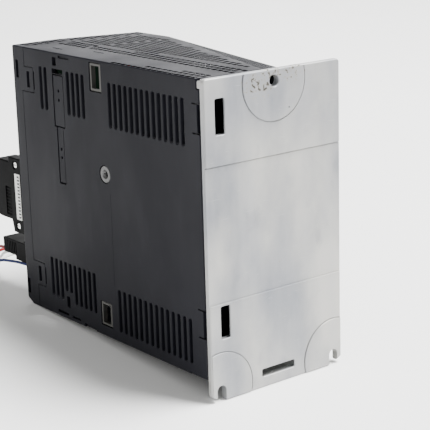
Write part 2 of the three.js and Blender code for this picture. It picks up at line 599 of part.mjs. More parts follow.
function wiredPlugs() {
  const back = -gap - 0.2;
  const upper = feeder.low + feeder.stepUp;
  const side = outline([
    [back, feeder.low], [back, feeder.high], [-feeder.out, feeder.high], [-feeder.out, upper],
    [-feeder.stepY, upper], [-feeder.stepY, feeder.low],
  ]);
  const noseX = about(feeder.x, feeder.wide, -2);
  const nose = box(...noseX, back - 1, plug.nose, feeder.low + 2.2, feeder.high - 2.2);
  add('feeder_plug', join([alongX(side, ...about(feeder.x, feeder.wide)), nose]), 'blackPlastic');
  const [low, high] = about(relay.z, relay.tall);
  const tongue = box(...about(relay.x, relay.wide, -1), -relay.out, plug.nose, low - 3.5, low + 1);
  const body = box(...about(relay.x, relay.wide), -relay.out, back, low, high);
  add('relay_plug', join([body, tongue]), 'blackPlastic');
}

// ---------- loose wires: each runs out of its plug and down to the surface in front ----------
const wires = [
  { colour: 'red', route: [
    [36.5, -34.8, 36.2], [36.6, -46, 35], [35, -60, 28.5], [31, -73, 21.5], [22, -84, 18.9],
    [8, -88, 19], [-6, -84, 19.2]] },
  { colour: 'white', route: [
    [33, -20.8, 33.8], [33, -34, 33.3], [32, -48, 29.5], [28.5, -61, 22], [22, -71, 18.1],
    [11, -76, 18.2], [-3, -74, 18.6]] },
  { colour: 'blue', route: [
    [37.5, -3.3, 31], [37.5, -14, 30.6], [38, -28, 29.4], [39.5, -42, 27.2], [41, -56, 21.5],
    [41, -69, 18], [37, -82, 18.7], [28, -93, 19.8]] },
];

// a crimped end sleeve: a plastic collar and a bare metal pin, in line with the wire's last stretch
function endSleeve(name, end, along, finish) {
  const profile = [
    [0, gap], [ferrule.collarR, gap], [ferrule.collarR, gap + ferrule.collar],
    [ferrule.pinR, gap + ferrule.collar], [ferrule.pinR, gap + ferrule.collar + ferrule.pin],
    [0, gap + ferrule.collar + ferrule.pin],
  ];
  const geometry = new THREE.LatheGeometry(profile.map(([r, y]) => new THREE.Vector2(r, y)), 12);
  geometry.applyQuaternion(new THREE.Quaternion().setFromUnitVectors(axisY, along));
  geometry.translate(end.x, end.y, end.z);
  add(name, toSolid(geometry), finish);
}

function wire({ colour, route }) {
  const points = route.map(([x, y, z]) => new THREE.Vector3(x, y, z));
  const path = new THREE.CatmullRomCurve3(points, false, 'centripetal');
  const section = circle(0, 0, wireD / 2, 8);
  const steps = 4 * (route.length - 1);
  const geometry = new THREE.ExtrudeGeometry(section, { extrudePath: path, steps, bevelEnabled: false });
  addGeometry(`wire_${colour}`, geometry, `${colour}Wire`);
  endSleeve(`end_sleeve_${colour}`, path.getPoint(1), path.getTangent(1), `${colour}Wire`);
}

const whole = shell();
heatsink();
casing(whole);
frontCover(whole);
frontSockets();
displayUnit();
displayDoor();
chargeLamp();
boards();
chassis();
coolingFan();
ioPlug();
wiredPlugs();
wires.forEach(wire);
part.position.y = -(depth - plug.out) / 2;

export default part;
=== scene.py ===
"""A wall-mounted servo drive on a pale floor.

Sizes in the classes are millimetres: x across, y backwards from the front face, z up from the mounting
plate's foot. ``Workshop.place`` turns each finished solid into the frame's metres.
"""

from __future__ import annotations

import logging
import math
from collections.abc import Sequence
from dataclasses import dataclass
from enum import Enum

import bmesh
import bpy
from mathutils import Matrix, Quaternion, Vector

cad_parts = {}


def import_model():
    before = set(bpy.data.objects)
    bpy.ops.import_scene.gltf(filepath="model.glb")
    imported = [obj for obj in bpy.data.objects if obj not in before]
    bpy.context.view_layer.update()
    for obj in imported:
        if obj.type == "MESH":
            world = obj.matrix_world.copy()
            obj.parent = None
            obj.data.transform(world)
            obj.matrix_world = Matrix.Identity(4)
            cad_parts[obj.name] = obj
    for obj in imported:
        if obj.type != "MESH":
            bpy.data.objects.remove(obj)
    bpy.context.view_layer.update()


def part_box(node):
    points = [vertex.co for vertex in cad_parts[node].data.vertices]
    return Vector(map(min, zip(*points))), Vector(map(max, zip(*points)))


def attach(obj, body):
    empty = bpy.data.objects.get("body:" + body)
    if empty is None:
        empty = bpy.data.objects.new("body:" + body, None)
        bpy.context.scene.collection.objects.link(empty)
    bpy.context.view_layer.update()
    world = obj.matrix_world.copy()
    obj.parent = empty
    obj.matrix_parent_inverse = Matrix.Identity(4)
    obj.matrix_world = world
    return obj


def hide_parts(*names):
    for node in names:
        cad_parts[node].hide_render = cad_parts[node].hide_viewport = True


LOG = logging.getLogger("servo_drive")
MM = 0.001
CLEARANCE = 0.3
Pair = tuple[float, float]
Triple = tuple[float, float, float]
Outline = list[Pair]
Socket = bpy.types.NodeSocket
Piece = bpy.types.Object


# ---- outlines
def rounded(centre: Pair, wide: float, tall: float, radius: float, steps: int = 3) -> Outline:
    """Give a rectangle with round corners.

    Args:
        centre: The rectangle's middle.
        wide: Its size along the first direction.
        tall: Its size along the second direction.
        radius: The corners' radius.
        steps: Straight pieces in each corner.

    Returns:
        The outline's points, anticlockwise.
    """
    radius = min(radius, wide / 2 - 0.01, tall / 2 - 0.01)
    points = []
    for quarter, (side, level) in enumerate(((1, 1), (-1, 1), (-1, -1), (1, -1))):
        a, b = side * (wide / 2 - radius), level * (tall / 2 - radius)
        for step in range(steps + 1):
            turn = math.pi / 2 * (quarter + step / steps)
            points.append((centre[0] + a + radius * math.cos(turn),
                centre[1] + b + radius * math.sin(turn)))
    return points


def disc(centre: Pair, radius: float, sides: int = 32) -> Outline:
    """Give a circle of straight pieces about a centre."""
    turns = (2 * math.pi * i / sides for i in range(sides))
    return [(centre[0] + radius * math.cos(t), centre[1] + radius * math.sin(t)) for t in turns]


def rectangle(a: Pair, b: Pair) -> Outline:
    """Give the rectangle that runs from a[0] to a[1] and from b[0] to b[1]."""
    return [(a[0], b[0]), (a[1], b[0]), (a[1], b[1]), (a[0], b[1])]


# ---- solids
class Axis(Enum):
    """The direction that an outline is pushed along."""

    X = "x"
    Y = "y"
    Z = "z"

    def point(self, a: float, b: float, level: float) -> Vector:
        """Place an outline's point at a level along this axis."""
        if self is Axis.X:
            return Vector((level, a, b))
        return Vector((a, level, b)) if self is Axis.Y else Vector((a, b, level))


def evaluated(thing: Piece) -> bpy.types.Mesh:
    """Turn an object with its modifiers into a plain mesh, and remove the object.

    Args:
        thing: The object, which is linked for the time of the call.

    Returns:
        The mesh that its modifiers make.
    """
    bpy.context.scene.collection.objects.link(thing)
    graph = bpy.context.evaluated_depsgraph_get()
    graph.update()
    mesh = bpy.data.meshes.new_from_object(thing.evaluated_get(graph), depsgraph=graph)
    bpy.data.objects.remove(thing)
    return mesh


class Solid:
    """A closed solid that can be joined, cut, turned and rounded."""

    def __init__(self, mesh: bpy.types.Mesh) -> None:
        """Keep the mesh of the solid."""
        self.mesh = mesh

    @classmethod
    def of(cls, shape: bmesh.types.BMesh) -> Solid:
        """Close a bmesh into a solid whose faces point out."""
        bmesh.ops.recalc_face_normals(shape, faces=shape.faces)
        mesh = bpy.data.meshes.new("solid")
        shape.to_mesh(mesh)
        shape.free()
        return cls(mesh)

    @classmethod
    def loft(cls, axis: Axis, rings: Sequence[tuple[float, Outline]]) -> Solid:
        """Join outlines of equal length into a closed solid.

        Args:
            axis: The direction that the outlines follow each other in.
            rings: Each outline with its level along the axis.

        Returns:
            The solid, capped at both ends.
        """
        shape = bmesh.new()
        rows = [[shape.verts.new(axis.point(a, b, level)) for a, b in ring] for level, ring in rings]
        for low, high in zip(rows, rows[1:]):
            for i in range(len(low)):
                j = (i + 1) % len(low)
                shape.faces.new((low[i], low[j], high[j], high[i]))
        shape.faces.new(rows[0])
        shape.faces.new(rows[-1])
        return cls.of(shape)

    @classmethod
    def prism(cls, axis: Axis, outline: Outline, low: float, high: float) -> Solid:
        """Push an outline along an axis from low to high."""
        return cls.loft(axis, [(low, outline), (high, outline)])

    @classmethod
    def block(cls, x: Pair, y: Pair, z: Pair) -> Solid:
        """Make a block between the given limits."""
        return cls.prism(Axis.Z, rectangle(x, y), *z)

    @classmethod
    def turned(cls, axis: Axis, centre: Pair, profile: Outline, sides: int = 32) -> Solid:
        """Turn a profile of (radius, level) points about an axis.

        Args:
            axis: The direction of the axis.
            centre: Where the axis crosses the other two directions.
            profile: The points, with radii over zero.
            sides: Straight pieces round the circle.

        Returns:
            The solid, capped at both ends.
        """
        return cls.loft(axis, [(level, disc(centre, radius, sides)) for radius, level in profile])

    @classmethod
    def together(cls, solids: Sequence[Solid]) -> Solid:
        """Put solids that don't touch into one mesh."""
        shape = bmesh.new()
        for solid in solids:
            shape.from_mesh(solid.mesh)
        mesh = bpy.data.meshes.new("solid")
        shape.to_mesh(mesh)
        shape.free()
        return cls(mesh)

    def _combined(self, operation: str, others: Sequence[Solid]) -> Solid:
        """Join this solid to others by a boolean operation."""
        thing = bpy.data.objects.new("work", self.mesh)
        tools = []
        for other in others:
            tool = bpy.data.objects.new("tool", other.mesh)
            bpy.context.scene.collection.objects.link(tool)
            tools.append(tool)
            modifier = thing.modifiers.new("tool", "BOOLEAN")
            modifier.operation = operation
            modifier.solver = "MANIFOLD"
            modifier.object = tool
        mesh = evaluated(thing)
        for tool in tools:
            bpy.data.objects.remove(tool)
        return Solid(mesh)

    def cut(self, *others: Solid) -> Solid:
        """Take other solids away from this one."""
        return self._combined("DIFFERENCE", others)

    def join(self, *others: Solid) -> Solid:
        """Melt other solids into this one."""
        return self._combined("UNION", others)

    def within(self, *others: Solid) -> Solid:
        """Keep what lies inside the others too."""
        return self._combined("INTERSECT", others)

    def trimmed(self, point: Vector, normal: Vector) -> Solid:
        """Cut off what lies beyond a plane and close the cut."""
        shape = bmesh.new()
        shape.from_mesh(self.mesh)
        parts = shape.verts[:] + shape.edges[:] + shape.faces[:]
        cut = bmesh.ops.bisect_plane(shape, geom=parts, plane_co=point, plane_no=normal, clear_outer=True)
        rim = [part for part in cut["geom_cut"] if isinstance(part, bmesh.types.BMEdge)]
        bmesh.ops.contextual_create(shape, geom=rim)
        return Solid.of(shape)

    def bevelled(self, size: float, steps: int = 2, angle: float = 28) -> Solid:
        """Round the edges that turn by more than an angle in degrees."""
        thing = bpy.data.objects.new("work", self.mesh)
        modifier = thing.modifiers.new("round", "BEVEL")
        modifier.width = size
        modifier.segments = steps
        modifier.limit_method = "ANGLE"
        modifier.angle_limit = math.radians(angle)
        modifier.use_clamp_overlap = True
        return Solid(evaluated(thing))

    def moved(self, matrix: Matrix) -> Solid:
        """Give a copy put through a matrix."""
        mesh = self.mesh.copy()
        mesh.transform(matrix)
        return Solid(mesh)


X, Y, Z = Axis
block, prism, turned, loft, together = Solid.block, Solid.prism, Solid.turned, Solid.loft, Solid.together


# ---- node trees
class NodeTree:
    """A node tree with short calls for its nodes."""

    tree: bpy.types.NodeTree

    def feed(self, socket: Socket, value: object) -> None:
        """Link a socket to another, or set its value."""
        if isinstance(value, Socket):
            self.tree.links.new(value, socket)
        else:
            socket.default_value = value

    def node(self, kind: str, inputs: dict | None = None, **settings: object) -> bpy.types.Node:
        """Add a node.

        Args:
            kind: The node's type.
            inputs: Values or sockets by input name or number.
            settings: The node's own settings.

        Returns:
            The node.
        """
        node = self.tree.nodes.new(kind)
        for key, value in settings.items():
            setattr(node, key, value)
        for key, value in (inputs or {}).items():
            self.feed(node.inputs[key], value)
        return node

    def math(self, operation: str, first: object, second: object = 0.0) -> Socket:
        """Add one step of arithmetic and return its result."""
        return self.node("ShaderNodeMath", {0: first, 1: second}, operation=operation).outputs[0]


# ---- repeated shapes
class Pattern(NodeTree):
    """A geometry node tree that repeats one shape; its sizes are named inputs."""

    def __init__(self, name: str) -> None:
        """Start an empty tree."""
        self.tree = bpy.data.node_groups.new(name, "GeometryNodeTree")
        self.tree.interface.new_socket("Geometry", in_out="OUTPUT", socket_type="NodeSocketGeometry")
        self.entry = self.tree.nodes.new("NodeGroupInput")
        self.exit = self.tree.nodes.new("NodeGroupOutput")
        self.identifiers: dict[str, str] = {}
        self.shape = self.size("Shape", "Object")
        self.material = self.size("Material", "Material")

    def size(self, name: str, kind: str = "Float") -> Socket:
        """Add a named input.

        Args:
            name: The input's name.
            kind: The socket's type, without its prefix.

        Returns:
            The socket that gives the input's value inside the tree.
        """
        item = self.tree.interface.new_socket(name, in_out="INPUT", socket_type=f"NodeSocket{kind}")
        self.identifiers[name] = item.identifier
        return next(s for s in self.entry.outputs if s.identifier == item.identifier)

    def vector(self, x: object = 0.0, y: object = 0.0, z: object = 0.0) -> Socket:
        """Join three numbers into a vector."""
        return self.node("ShaderNodeCombineXYZ", {"X": x, "Y": y, "Z": z}).outputs[0]

    def close(self, points: Socket, turn: object = None, scale: object = None) -> None:
        """Put the shape on the points, make it real and give it its material.

        Args:
            points: The places for the shape.
            turn: Each copy's rotation, if it is turned.
            scale: Each copy's scale, if it is scaled.
        """
        source = self.node("GeometryNodeObjectInfo", {"Object": self.shape})
        places = {"Points": points, "Instance": source.outputs["Geometry"]}
        if turn is not None:
            places["Rotation"] = turn
        if scale is not None:
            places["Scale"] = scale
        copies = self.node("GeometryNodeInstanceOnPoints", places)
        real = self.node("GeometryNodeRealizeInstances", {"Geometry": copies.outputs[0]})
        dressed = self.node("GeometryNodeSetMaterial", {"Geometry": real.outputs[0],
            "Material": self.material})
        self.tree.links.new(dressed.outputs[0], self.exit.inputs[0])

    def made(self, shape: Solid, material: bpy.types.Material, **sizes: object) -> Solid:
        """Run the tree on one shape.

        Args:
            shape: The solid to repeat.
            material: The copies' finish.
            sizes: The tree's inputs, with _ for spaces.

        Returns:
            All copies as one mesh.
        """
        source = bpy.data.objects.new("shape", shape.mesh)
        bpy.context.scene.collection.objects.link(source)
        holder = bpy.data.objects.new("pattern", bpy.data.meshes.new("pattern"))
        modifier = holder.modifiers.new("pattern", "NODES")
        modifier.node_group = self.tree
        modifier[self.identifiers["Shape"]] = source
        modifier[self.identifiers["Material"]] = material
        for name, value in sizes.items():
            modifier[self.identifiers[name.replace("_", " ").capitalize()]] = value
        mesh = evaluated(holder)
        bpy.data.objects.remove(source)
        return Solid(mesh)


class RowPattern(Pattern):
    """Copies in a straight row: Count, First place and Step between two."""

    def __init__(self) -> None:
        """Build the tree."""
        super().__init__("row")
        sizes = {"Count": self.size("Count", "Int"), "Start Location": self.size("First", "Vector")}
        sizes["Offset"] = self.size("Step", "Vector")
        line = self.node("GeometryNodeMeshLine", sizes, mode="OFFSET")
        self.close(line.outputs[0])


def row(shape: Solid, finish: Finish, count: int, first: Triple, step: Triple) -> Solid:
    """Repeat a solid in a straight row.

    Args:
        shape: The solid.
        finish: The copies' finish.
        count: How many copies there are.
        first: The first copy's place.
        step: The way from each copy to the next.

    Returns:
        The copies as one mesh.
    """
    return RowPattern().made(shape, finish.material(), count=count, first=first, step=step)


class RingPattern(Pattern):
    """Copies turned about Z: Count of them round the origin."""

    def __init__(self) -> None:
        """Build the tree."""
        super().__init__("ring")
        count = self.size("Count", "Int")
        line = self.node("GeometryNodeMeshLine", {"Count": count, "Offset": (0, 0, 0)}, mode="OFFSET")
        index = self.node("GeometryNodeInputIndex").outputs[0]
        turn = self.math("MULTIPLY", self.math("DIVIDE", index, count), math.tau)
        spin = self.node("FunctionNodeEulerToRotation", {0: self.vector(z=turn)})
        self.close(line.outputs[0], turn=spin.outputs[0])


class StaggerPattern(Pattern):
    """Copies in columns along Y, each second column shifted half a pitch.

    The field runs from Front to Back; its two sides are straight lines that may lean.
    """

    def __init__(self) -> None:
        """Build the tree."""
        super().__init__("stagger")
        front, back = self.size("Front"), self.size("Back")
        left, right = self.size("Left"), self.size("Right")
        pitch_x, pitch_y = self.size("Pitch x"), self.size("Pitch y")
        lean_left, lean_right = self.size("Left lean"), self.size("Right lean")
        start = self.math("ADD", left, self.math("MINIMUM", lean_left, 0.0))
        end = self.math("ADD", right, self.math("MAXIMUM", lean_right, 0.0))
        wide, deep = self.math("SUBTRACT", end, start), self.math("SUBTRACT", back, front)
        columns = self.math("ADD", self.math("FLOOR", self.math("DIVIDE", wide, pitch_x)), 1.0)
        rows = self.math("ADD", self.math("FLOOR", self.math("DIVIDE", deep, pitch_y)), 1.0)
        count = self.math("MULTIPLY", columns, rows)
        line = self.node("GeometryNodeMeshLine", {"Count": count, "Offset": (0, 0, 0)}, mode="OFFSET")
        index = self.node("GeometryNodeInputIndex").outputs[0]
        column = self.math("FLOORED_MODULO", index, columns)
        row = self.math("FLOOR", self.math("DIVIDE", self.math("ADD", index, 0.5), columns))
        shift = self.math("MULTIPLY", self.math("FLOORED_MODULO", column, 2.0), 0.5)
        x = self.math("ADD", start, self.math("MULTIPLY", column, pitch_x))
        y = self.math("ADD", front, self.math("MULTIPLY", self.math("ADD", row, shift), pitch_y))
        placed = self.node("GeometryNodeSetPosition", {"Geometry": line.outputs[0],
            "Position": self.vector(x, y)})
        at = self.node("ShaderNodeSeparateXYZ", {0: self.node("GeometryNodeInputPosition").outputs[0]})
        share = self.math("DIVIDE", self.math("SUBTRACT", at.outputs["Y"], front), deep)
        low = self.math("ADD", left, self.math("MULTIPLY", share, lean_left))
        high = self.math("ADD", right, self.math("MULTIPLY", share, lean_right))
        slack = 0.01
        outside = self.math("MAXIMUM", self.math("SUBTRACT", low, at.outputs["X"]),
            self.math("SUBTRACT", at.outputs["X"], high))
        beyond = self.math("MAXIMUM", outside, self.math("SUBTRACT", at.outputs["Y"], back))
        gone = self.node("FunctionNodeCompare", {0: beyond, 1: slack}, operation="GREATER_THAN")
        kept = self.node("GeometryNodeDeleteGeometry", {"Geometry": placed.outputs[0],
            "Selection": gone.outputs[0]})
        self.close(kept.outputs[0])


class ScatterPattern(Pattern):
    """Copies strewn over an upright board: Wide, Tall, Pitch, Share kept and Seed."""

    def __init__(self) -> None:
        """Build the tree."""
        super().__init__("scatter")
        wide, tall, pitch = self.size("Wide"), self.size("Tall"), self.size("Pitch")
        share, seed = self.size("Share"), self.size("Seed", "Int")
        columns = self.math("FLOOR", self.math("DIVIDE", wide, pitch))
        rows = self.math("FLOOR", self.math("DIVIDE", tall, pitch))
        grid = self.node("GeometryNodeMeshGrid", {"Size X": wide, "Size Y": tall, "Vertices X": columns,
            "Vertices Y": rows})
        quarter = self.node("FunctionNodeEulerToRotation", {0: (math.pi / 2, 0, 0)})
        upright = self.node("GeometryNodeTransform", {"Geometry": grid.outputs[0],
            "Rotation": quarter.outputs[0]})
        chance = self.node("FunctionNodeRandomValue", {"Seed": seed}, data_type="FLOAT")
        gone = self.node("FunctionNodeCompare", {0: chance.outputs[1], 1: share}, operation="GREATER_THAN")
        kept = self.node("GeometryNodeDeleteGeometry", {"Geometry": upright.outputs[0],
            "Selection": gone.outputs[0]})
        size = self.node("FunctionNodeRandomValue", {0: (0.6, 0.7, 0.6), 1: (1.7, 1.4, 1.5), "Seed": seed},
            data_type="FLOAT_VECTOR")
        self.close(kept.outputs[0], scale=size.outputs[0])


# ---- finishes
class Shader(NodeTree):
    """A material's node tree with short calls for its nodes."""

    def __init__(self, name: str) -> None:
        """Start a material that reads Object coordinates."""
        self.material = bpy.data.materials.new(name)
        self.material.use_nodes = True
        self.tree = self.material.node_tree
        self.surface = next(n for n in self.tree.nodes if n.type == "BSDF_PRINCIPLED")
        self.place = self.node("ShaderNodeTexCoord").outputs["Object"]

    def noise(self, scale: float, stretch: Sequence[float] = (1, 1, 1), detail: float = 3.0) -> Socket:
        """Give noise from 0 to 1.

        Args:
            scale: Patches per metre.
            stretch: How much tighter the pattern is along each direction.
            detail: Octaves of finer noise.

        Returns:
            The noise's value.
        """
        placed = self.node("ShaderNodeMapping", {"Vector": self.place, "Scale": stretch})
        return self.node("ShaderNodeTexNoise", {"Vector": placed.outputs[0], "Scale": scale,
            "Detail": detail}).outputs[0]

    def spread(self, value: object, low: float, high: float, to_low: float, to_high: float) -> Socket:
        """Map a value's range onto another and clamp it."""
        return self.node("ShaderNodeMapRange", {0: value, 1: low, 2: high, 3: to_low, 4: to_high},
            clamp=True).outputs[0]

    def blend(self, share: object, first: object, second: object) -> Socket:
        """Mix two colours."""
        mix = self.node("ShaderNodeMix", {0: share, 6: first, 7: second}, data_type="RGBA")
        return mix.outputs[2]

    def relief(self, height: Socket, depth: float, under: object = None) -> Socket:
        """Give the normal of a surface raised by a height from 0 to 1, times a depth in metres."""
        inputs = {"Height": height, "Distance": depth, "Strength": 1.0}
        if under is not None:
            inputs["Normal"] = under
        return self.node("ShaderNodeBump", inputs).outputs[0]

    def finish(self, **inputs: object) -> bpy.types.Material:
        """Set the shader's inputs, with _ for spaces, and return the material."""
        for key, value in inputs.items():
            self.feed(self.surface.inputs[key.replace("_", " ")], value)
        return self.material


def tone(colour: Triple, by: float = 1.0) -> tuple[float, float, float, float]:
    """Give a colour made lighter or darker, with full opacity."""
    return (*(min(1.0, c * by) for c in colour), 1.0)


@dataclass(frozen=True)
class Finish:
    """A surface with cloudy colour, fine grain and pale rub marks."""

    name: str
    slot: str
    colour: Triple
    roughness: float
    metallic: float = 0.0
    cloud: float = 0.12
    cloud_scale: float = 30.0
    grain: float = 0.00003
    grain_scale: float = 1800.0
    rub: float = 0.0
    stretch: Triple = (1.0, 1.0, 1.0)
    coat: float = 0.0
    specular: float = 0.5

    def material(self) -> bpy.types.Material:
        """Give this finish's material, made once."""
        known = bpy.data.materials.get(self.name)
        return known if known else self.built()

    def built(self) -> bpy.types.Material:
        """Build the material's nodes."""
        shader = Shader(self.name)
        clouds = shader.noise(self.cloud_scale, self.stretch, 5.0)
        colour = shader.blend(shader.spread(clouds, 0.3, 0.7, 0.0, 1.0), tone(self.colour, 1 - self.cloud),
            tone(self.colour, 1 + self.cloud))
        if self.rub:
            marks = shader.spread(shader.noise(160.0, (1.0, 0.6, 2.2), 6.0), 0.62, 0.78, 0.0, self.rub)
            colour = shader.blend(marks, colour, tone(self.colour, 2.6))
        grain = shader.noise(self.grain_scale, self.stretch, 2.0)
        gloss = shader.spread(shader.noise(self.cloud_scale * 3, self.stretch, 4.0), 0.25, 0.75,
            self.roughness - 0.07, self.roughness + 0.07)
        return shader.finish(Base_Color=colour, Roughness=gloss, Metallic=self.metallic,
            Coat_Weight=self.coat, Specular_IOR_Level=self.specular,
            Normal=shader.relief(grain, self.grain))


@dataclass(frozen=True)
class MouldedPlastic(Finish):
    """Spark-eroded moulded plastic with pale dust specks and soft handling smears."""

    specks: float = 0.5

    def built(self) -> bpy.types.Material:
        """Build the material's nodes."""
        shader = Shader(self.name)
        clouds = shader.spread(shader.noise(self.cloud_scale, (1, 1, 0.45), 6.0), 0.32, 0.68, 0.0, 1.0)
        colour = shader.blend(clouds, tone(self.colour, 1 - self.cloud), tone(self.colour, 1 + self.cloud))
        smears = shader.spread(shader.noise(85.0, (1.0, 1.4, 0.5), 7.0), 0.56, 0.8, 0.0, 0.28)
        colour = shader.blend(smears, colour, tone(self.colour, 1.7))
        cells = shader.node("ShaderNodeTexVoronoi", {"Vector": shader.place, "Scale": 420.0})
        dust = shader.math("MULTIPLY", shader.spread(cells.outputs["Distance"], 0.05, 0.1, 1.0, 0.0),
            shader.spread(shader.noise(60.0, detail=2.0), 0.56, 0.66, 0.0, self.specks))
        colour = shader.blend(dust, colour, tone(self.colour, 4.5))
        grain = shader.noise(self.grain_scale, detail=2.0)
        normal = shader.relief(grain, self.grain)
        normal = shader.relief(shader.noise(22.0, (1, 1, 0.7), 2.0), 0.0004, normal)
        gloss = shader.spread(shader.math("ADD", clouds, smears), 0.0, 1.2, self.roughness + 0.06,
            self.roughness - 0.08)
        return shader.finish(Base_Color=colour, Roughness=gloss, Normal=normal,
            Specular_IOR_Level=self.specular)


@dataclass(frozen=True)
class CastMetal(Finish):
    """Die-cast aluminium: cold and warm clouds, flow marks, fine scratches and corrosion near the hole.

    The corrosion gathers about ``stains``, given in metres in the frame.
    """

    warm: Triple = (0.455, 0.444, 0.414)
    cold: Triple = (0.195, 0.208, 0.235)
    stains: tuple[Triple, ...] = ()
    stain_reach: float = 0.012

    def built(self) -> bpy.types.Material:
        """Build the material's nodes."""
        shader = Shader(self.name)
        broad = shader.spread(shader.noise(24.0, (1.0, 1.0, 0.55), 7.0), 0.36, 0.64, 0.0, 1.0)
        colour = shader.blend(broad, tone(self.cold), tone(self.warm))
        flow = shader.spread(shader.noise(95.0, (1.0, 1.0, 0.12), 6.0), 0.3, 0.72, 0.0, 0.5)
        colour = shader.blend(flow, colour, tone(self.colour, 1.12))
        bruise = shader.spread(shader.noise(46.0, (1.3, 1.0, 0.8), 5.0), 0.6, 0.76, 0.0, 0.42)
        colour = shader.blend(bruise, colour, tone(self.cold, 0.72))
        scratches = shader.spread(shader.noise(700.0, (0.16, 1.0, 2.0), 3.0), 0.66, 0.74, 0.0, 0.3)
        colour = shader.blend(scratches, colour, tone(self.colour, 1.35))
        pits = shader.noise(520.0, detail=4.0)
        near = None
        for x, y, z in self.stains:
            away = shader.node("ShaderNodeVectorMath", {0: shader.place, 1: (x, y, z)},
                operation="DISTANCE")
            share = shader.spread(away.outputs["Value"], 0.25 * self.stain_reach, self.stain_reach, 1.0,
                0.0)
            near = share if near is None else shader.math("MAXIMUM", near, share)
        normal = shader.relief(shader.noise(self.grain_scale, detail=3.0), self.grain)
        if near is not None:
            level = shader.math("SUBTRACT", 0.78, shader.math("MULTIPLY", near, 0.235))
            spots = shader.spread(shader.math("SUBTRACT", pits, level), 0.0, 0.05, 0.0, 0.92)
            halo = shader.spread(shader.math("SUBTRACT", pits, level), -0.09, 0.03, 0.0, 0.4)
            colour = shader.blend(halo, colour, (0.33, 0.29, 0.2, 1.0))
            colour = shader.blend(spots, colour, (0.035, 0.03, 0.022, 1.0))
            normal = shader.relief(shader.math("SUBTRACT", 1.0, spots), 0.00008, normal)
        normal = shader.relief(shader.noise(60.0, (1, 1, 0.4), 3.0), 0.0002, normal)
        gloss = shader.spread(broad, 0.0, 1.0, self.roughness + 0.08, self.roughness - 0.06)
        return shader.finish(Base_Color=colour, Roughness=gloss, Metallic=self.metallic, Normal=normal)


CAST = CastMetal("raw_casting", "cast_aluminium", (0.335, 0.337, 0.345), 0.5, 0.45, grain=0.00006,
    grain_scale=1500.0, stains=((0.0135, 0.1115, 0.1625), (0.001, 0.1115, 0.1668), (-0.012, 0.1115, 0.1668),
    (0.007, 0.1115, 0.161)))
CHARCOAL = MouldedPlastic("charcoal_moulding", "charcoal_plastic", (0.0068, 0.007, 0.0105), 0.56,
    grain=0.00004, specular=0.13)
BLACK = Finish("black_moulding", "black_plastic", (0.005, 0.005, 0.006), 0.5, rub=0.15, specular=0.15)
# Near-black plug plastic; also put on the sheets behind the plate's windows as painted shade.
GLOSS_BLACK = Finish("plug_moulding", "black_plastic", (0.0022, 0.0022, 0.0026), 0.42, rub=0.1,
    specular=0.02)
GREY = Finish("grey_moulding", "grey_plastic", (0.27, 0.28, 0.3), 0.5)
SMOKED = Finish("smoked_pane", "smoked_window", (0.012, 0.01, 0.009), 0.16, grain=0.0, coat=0.15,
    specular=0.25)
SHEET = Finish("plated_sheet", "sheet_steel", (0.05, 0.049, 0.045), 0.55, 0.2, stretch=(1, 1, 0.3))
NICKEL = Finish("bright_plating", "nickel", (0.62, 0.62, 0.6), 0.26, 1.0, grain=0.00001, rub=0.2)
BRIGHT = Finish("screw_plating", "nickel", (0.78, 0.78, 0.76), 0.3, 1.0, grain=0.00001, rub=0.1)
DULL = Finish("dull_screw", "nickel", (0.11, 0.11, 0.11), 0.5, 0.7, rub=0.3)
UNLIT = Finish("unlit_segment", "smoked_window", (0.045, 0.02, 0.018), 0.3)
BOARD = Finish("solder_mask", "green_board", (0.0015, 0.012, 0.005), 0.5, specular=0.2)
SLEEVE = Finish("shrink_sleeve", "capacitor_sleeve", (0.012, 0.018, 0.045), 0.3)
PAPER = Finish("label_paper", "white_label", (0.8, 0.8, 0.77), 0.6, cloud=0.05)
INK = Finish("label_ink", "white_label", (0.02, 0.02, 0.022), 0.6)
LENS = Finish("ruby_lens", "red_lens", (0.16, 0.006, 0.004), 0.15, grain=0.0, coat=0.4)
RED = Finish("red_sleeve", "red_wire", (0.2, 0.006, 0.008), 0.5, cloud=0.2, specular=0.2)
WHITE = Finish("white_sleeve", "white_wire", (0.72, 0.72, 0.68), 0.45, cloud=0.06)
BLUE = Finish("blue_sleeve", "blue_wire", (0.006, 0.016, 0.1), 0.5, cloud=0.2, specular=0.2)


# ---- the frame and the workshop
class Body(Enum):
    """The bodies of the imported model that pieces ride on."""

    DRIVE = "drive"
    FAN = "fan_rotor"
    DOOR = "display_door"
    MODE = "key_mode"
    UP = "key_up"
    SET = "key_set"
    PLUG = "io_plug"


@dataclass(frozen=True)
class Envelope:
    """The drive's own sizes, read from the frame, in millimetres."""

    front: float
    half: float
    depth: float
    height: float
    floor: float
    plate_front: float

    @classmethod
    def read(cls) -> Envelope:
        """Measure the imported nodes."""
        cover, plate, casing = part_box("front_cover"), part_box("heatsink"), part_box("casing")
        front = cover[0][1] / MM
        return cls(front, plate[1][0] / MM, plate[1][1] / MM - front, plate[1][2] / MM, casing[0][2] / MM,
            casing[1][1] / MM - front + CLEARANCE)

    def row(self, x: float, y: float, z: float) -> Vector:
        """Turn a place in the drive's millimetres into the frame's metres."""
        return Vector((x, y + self.front, z)) * MM


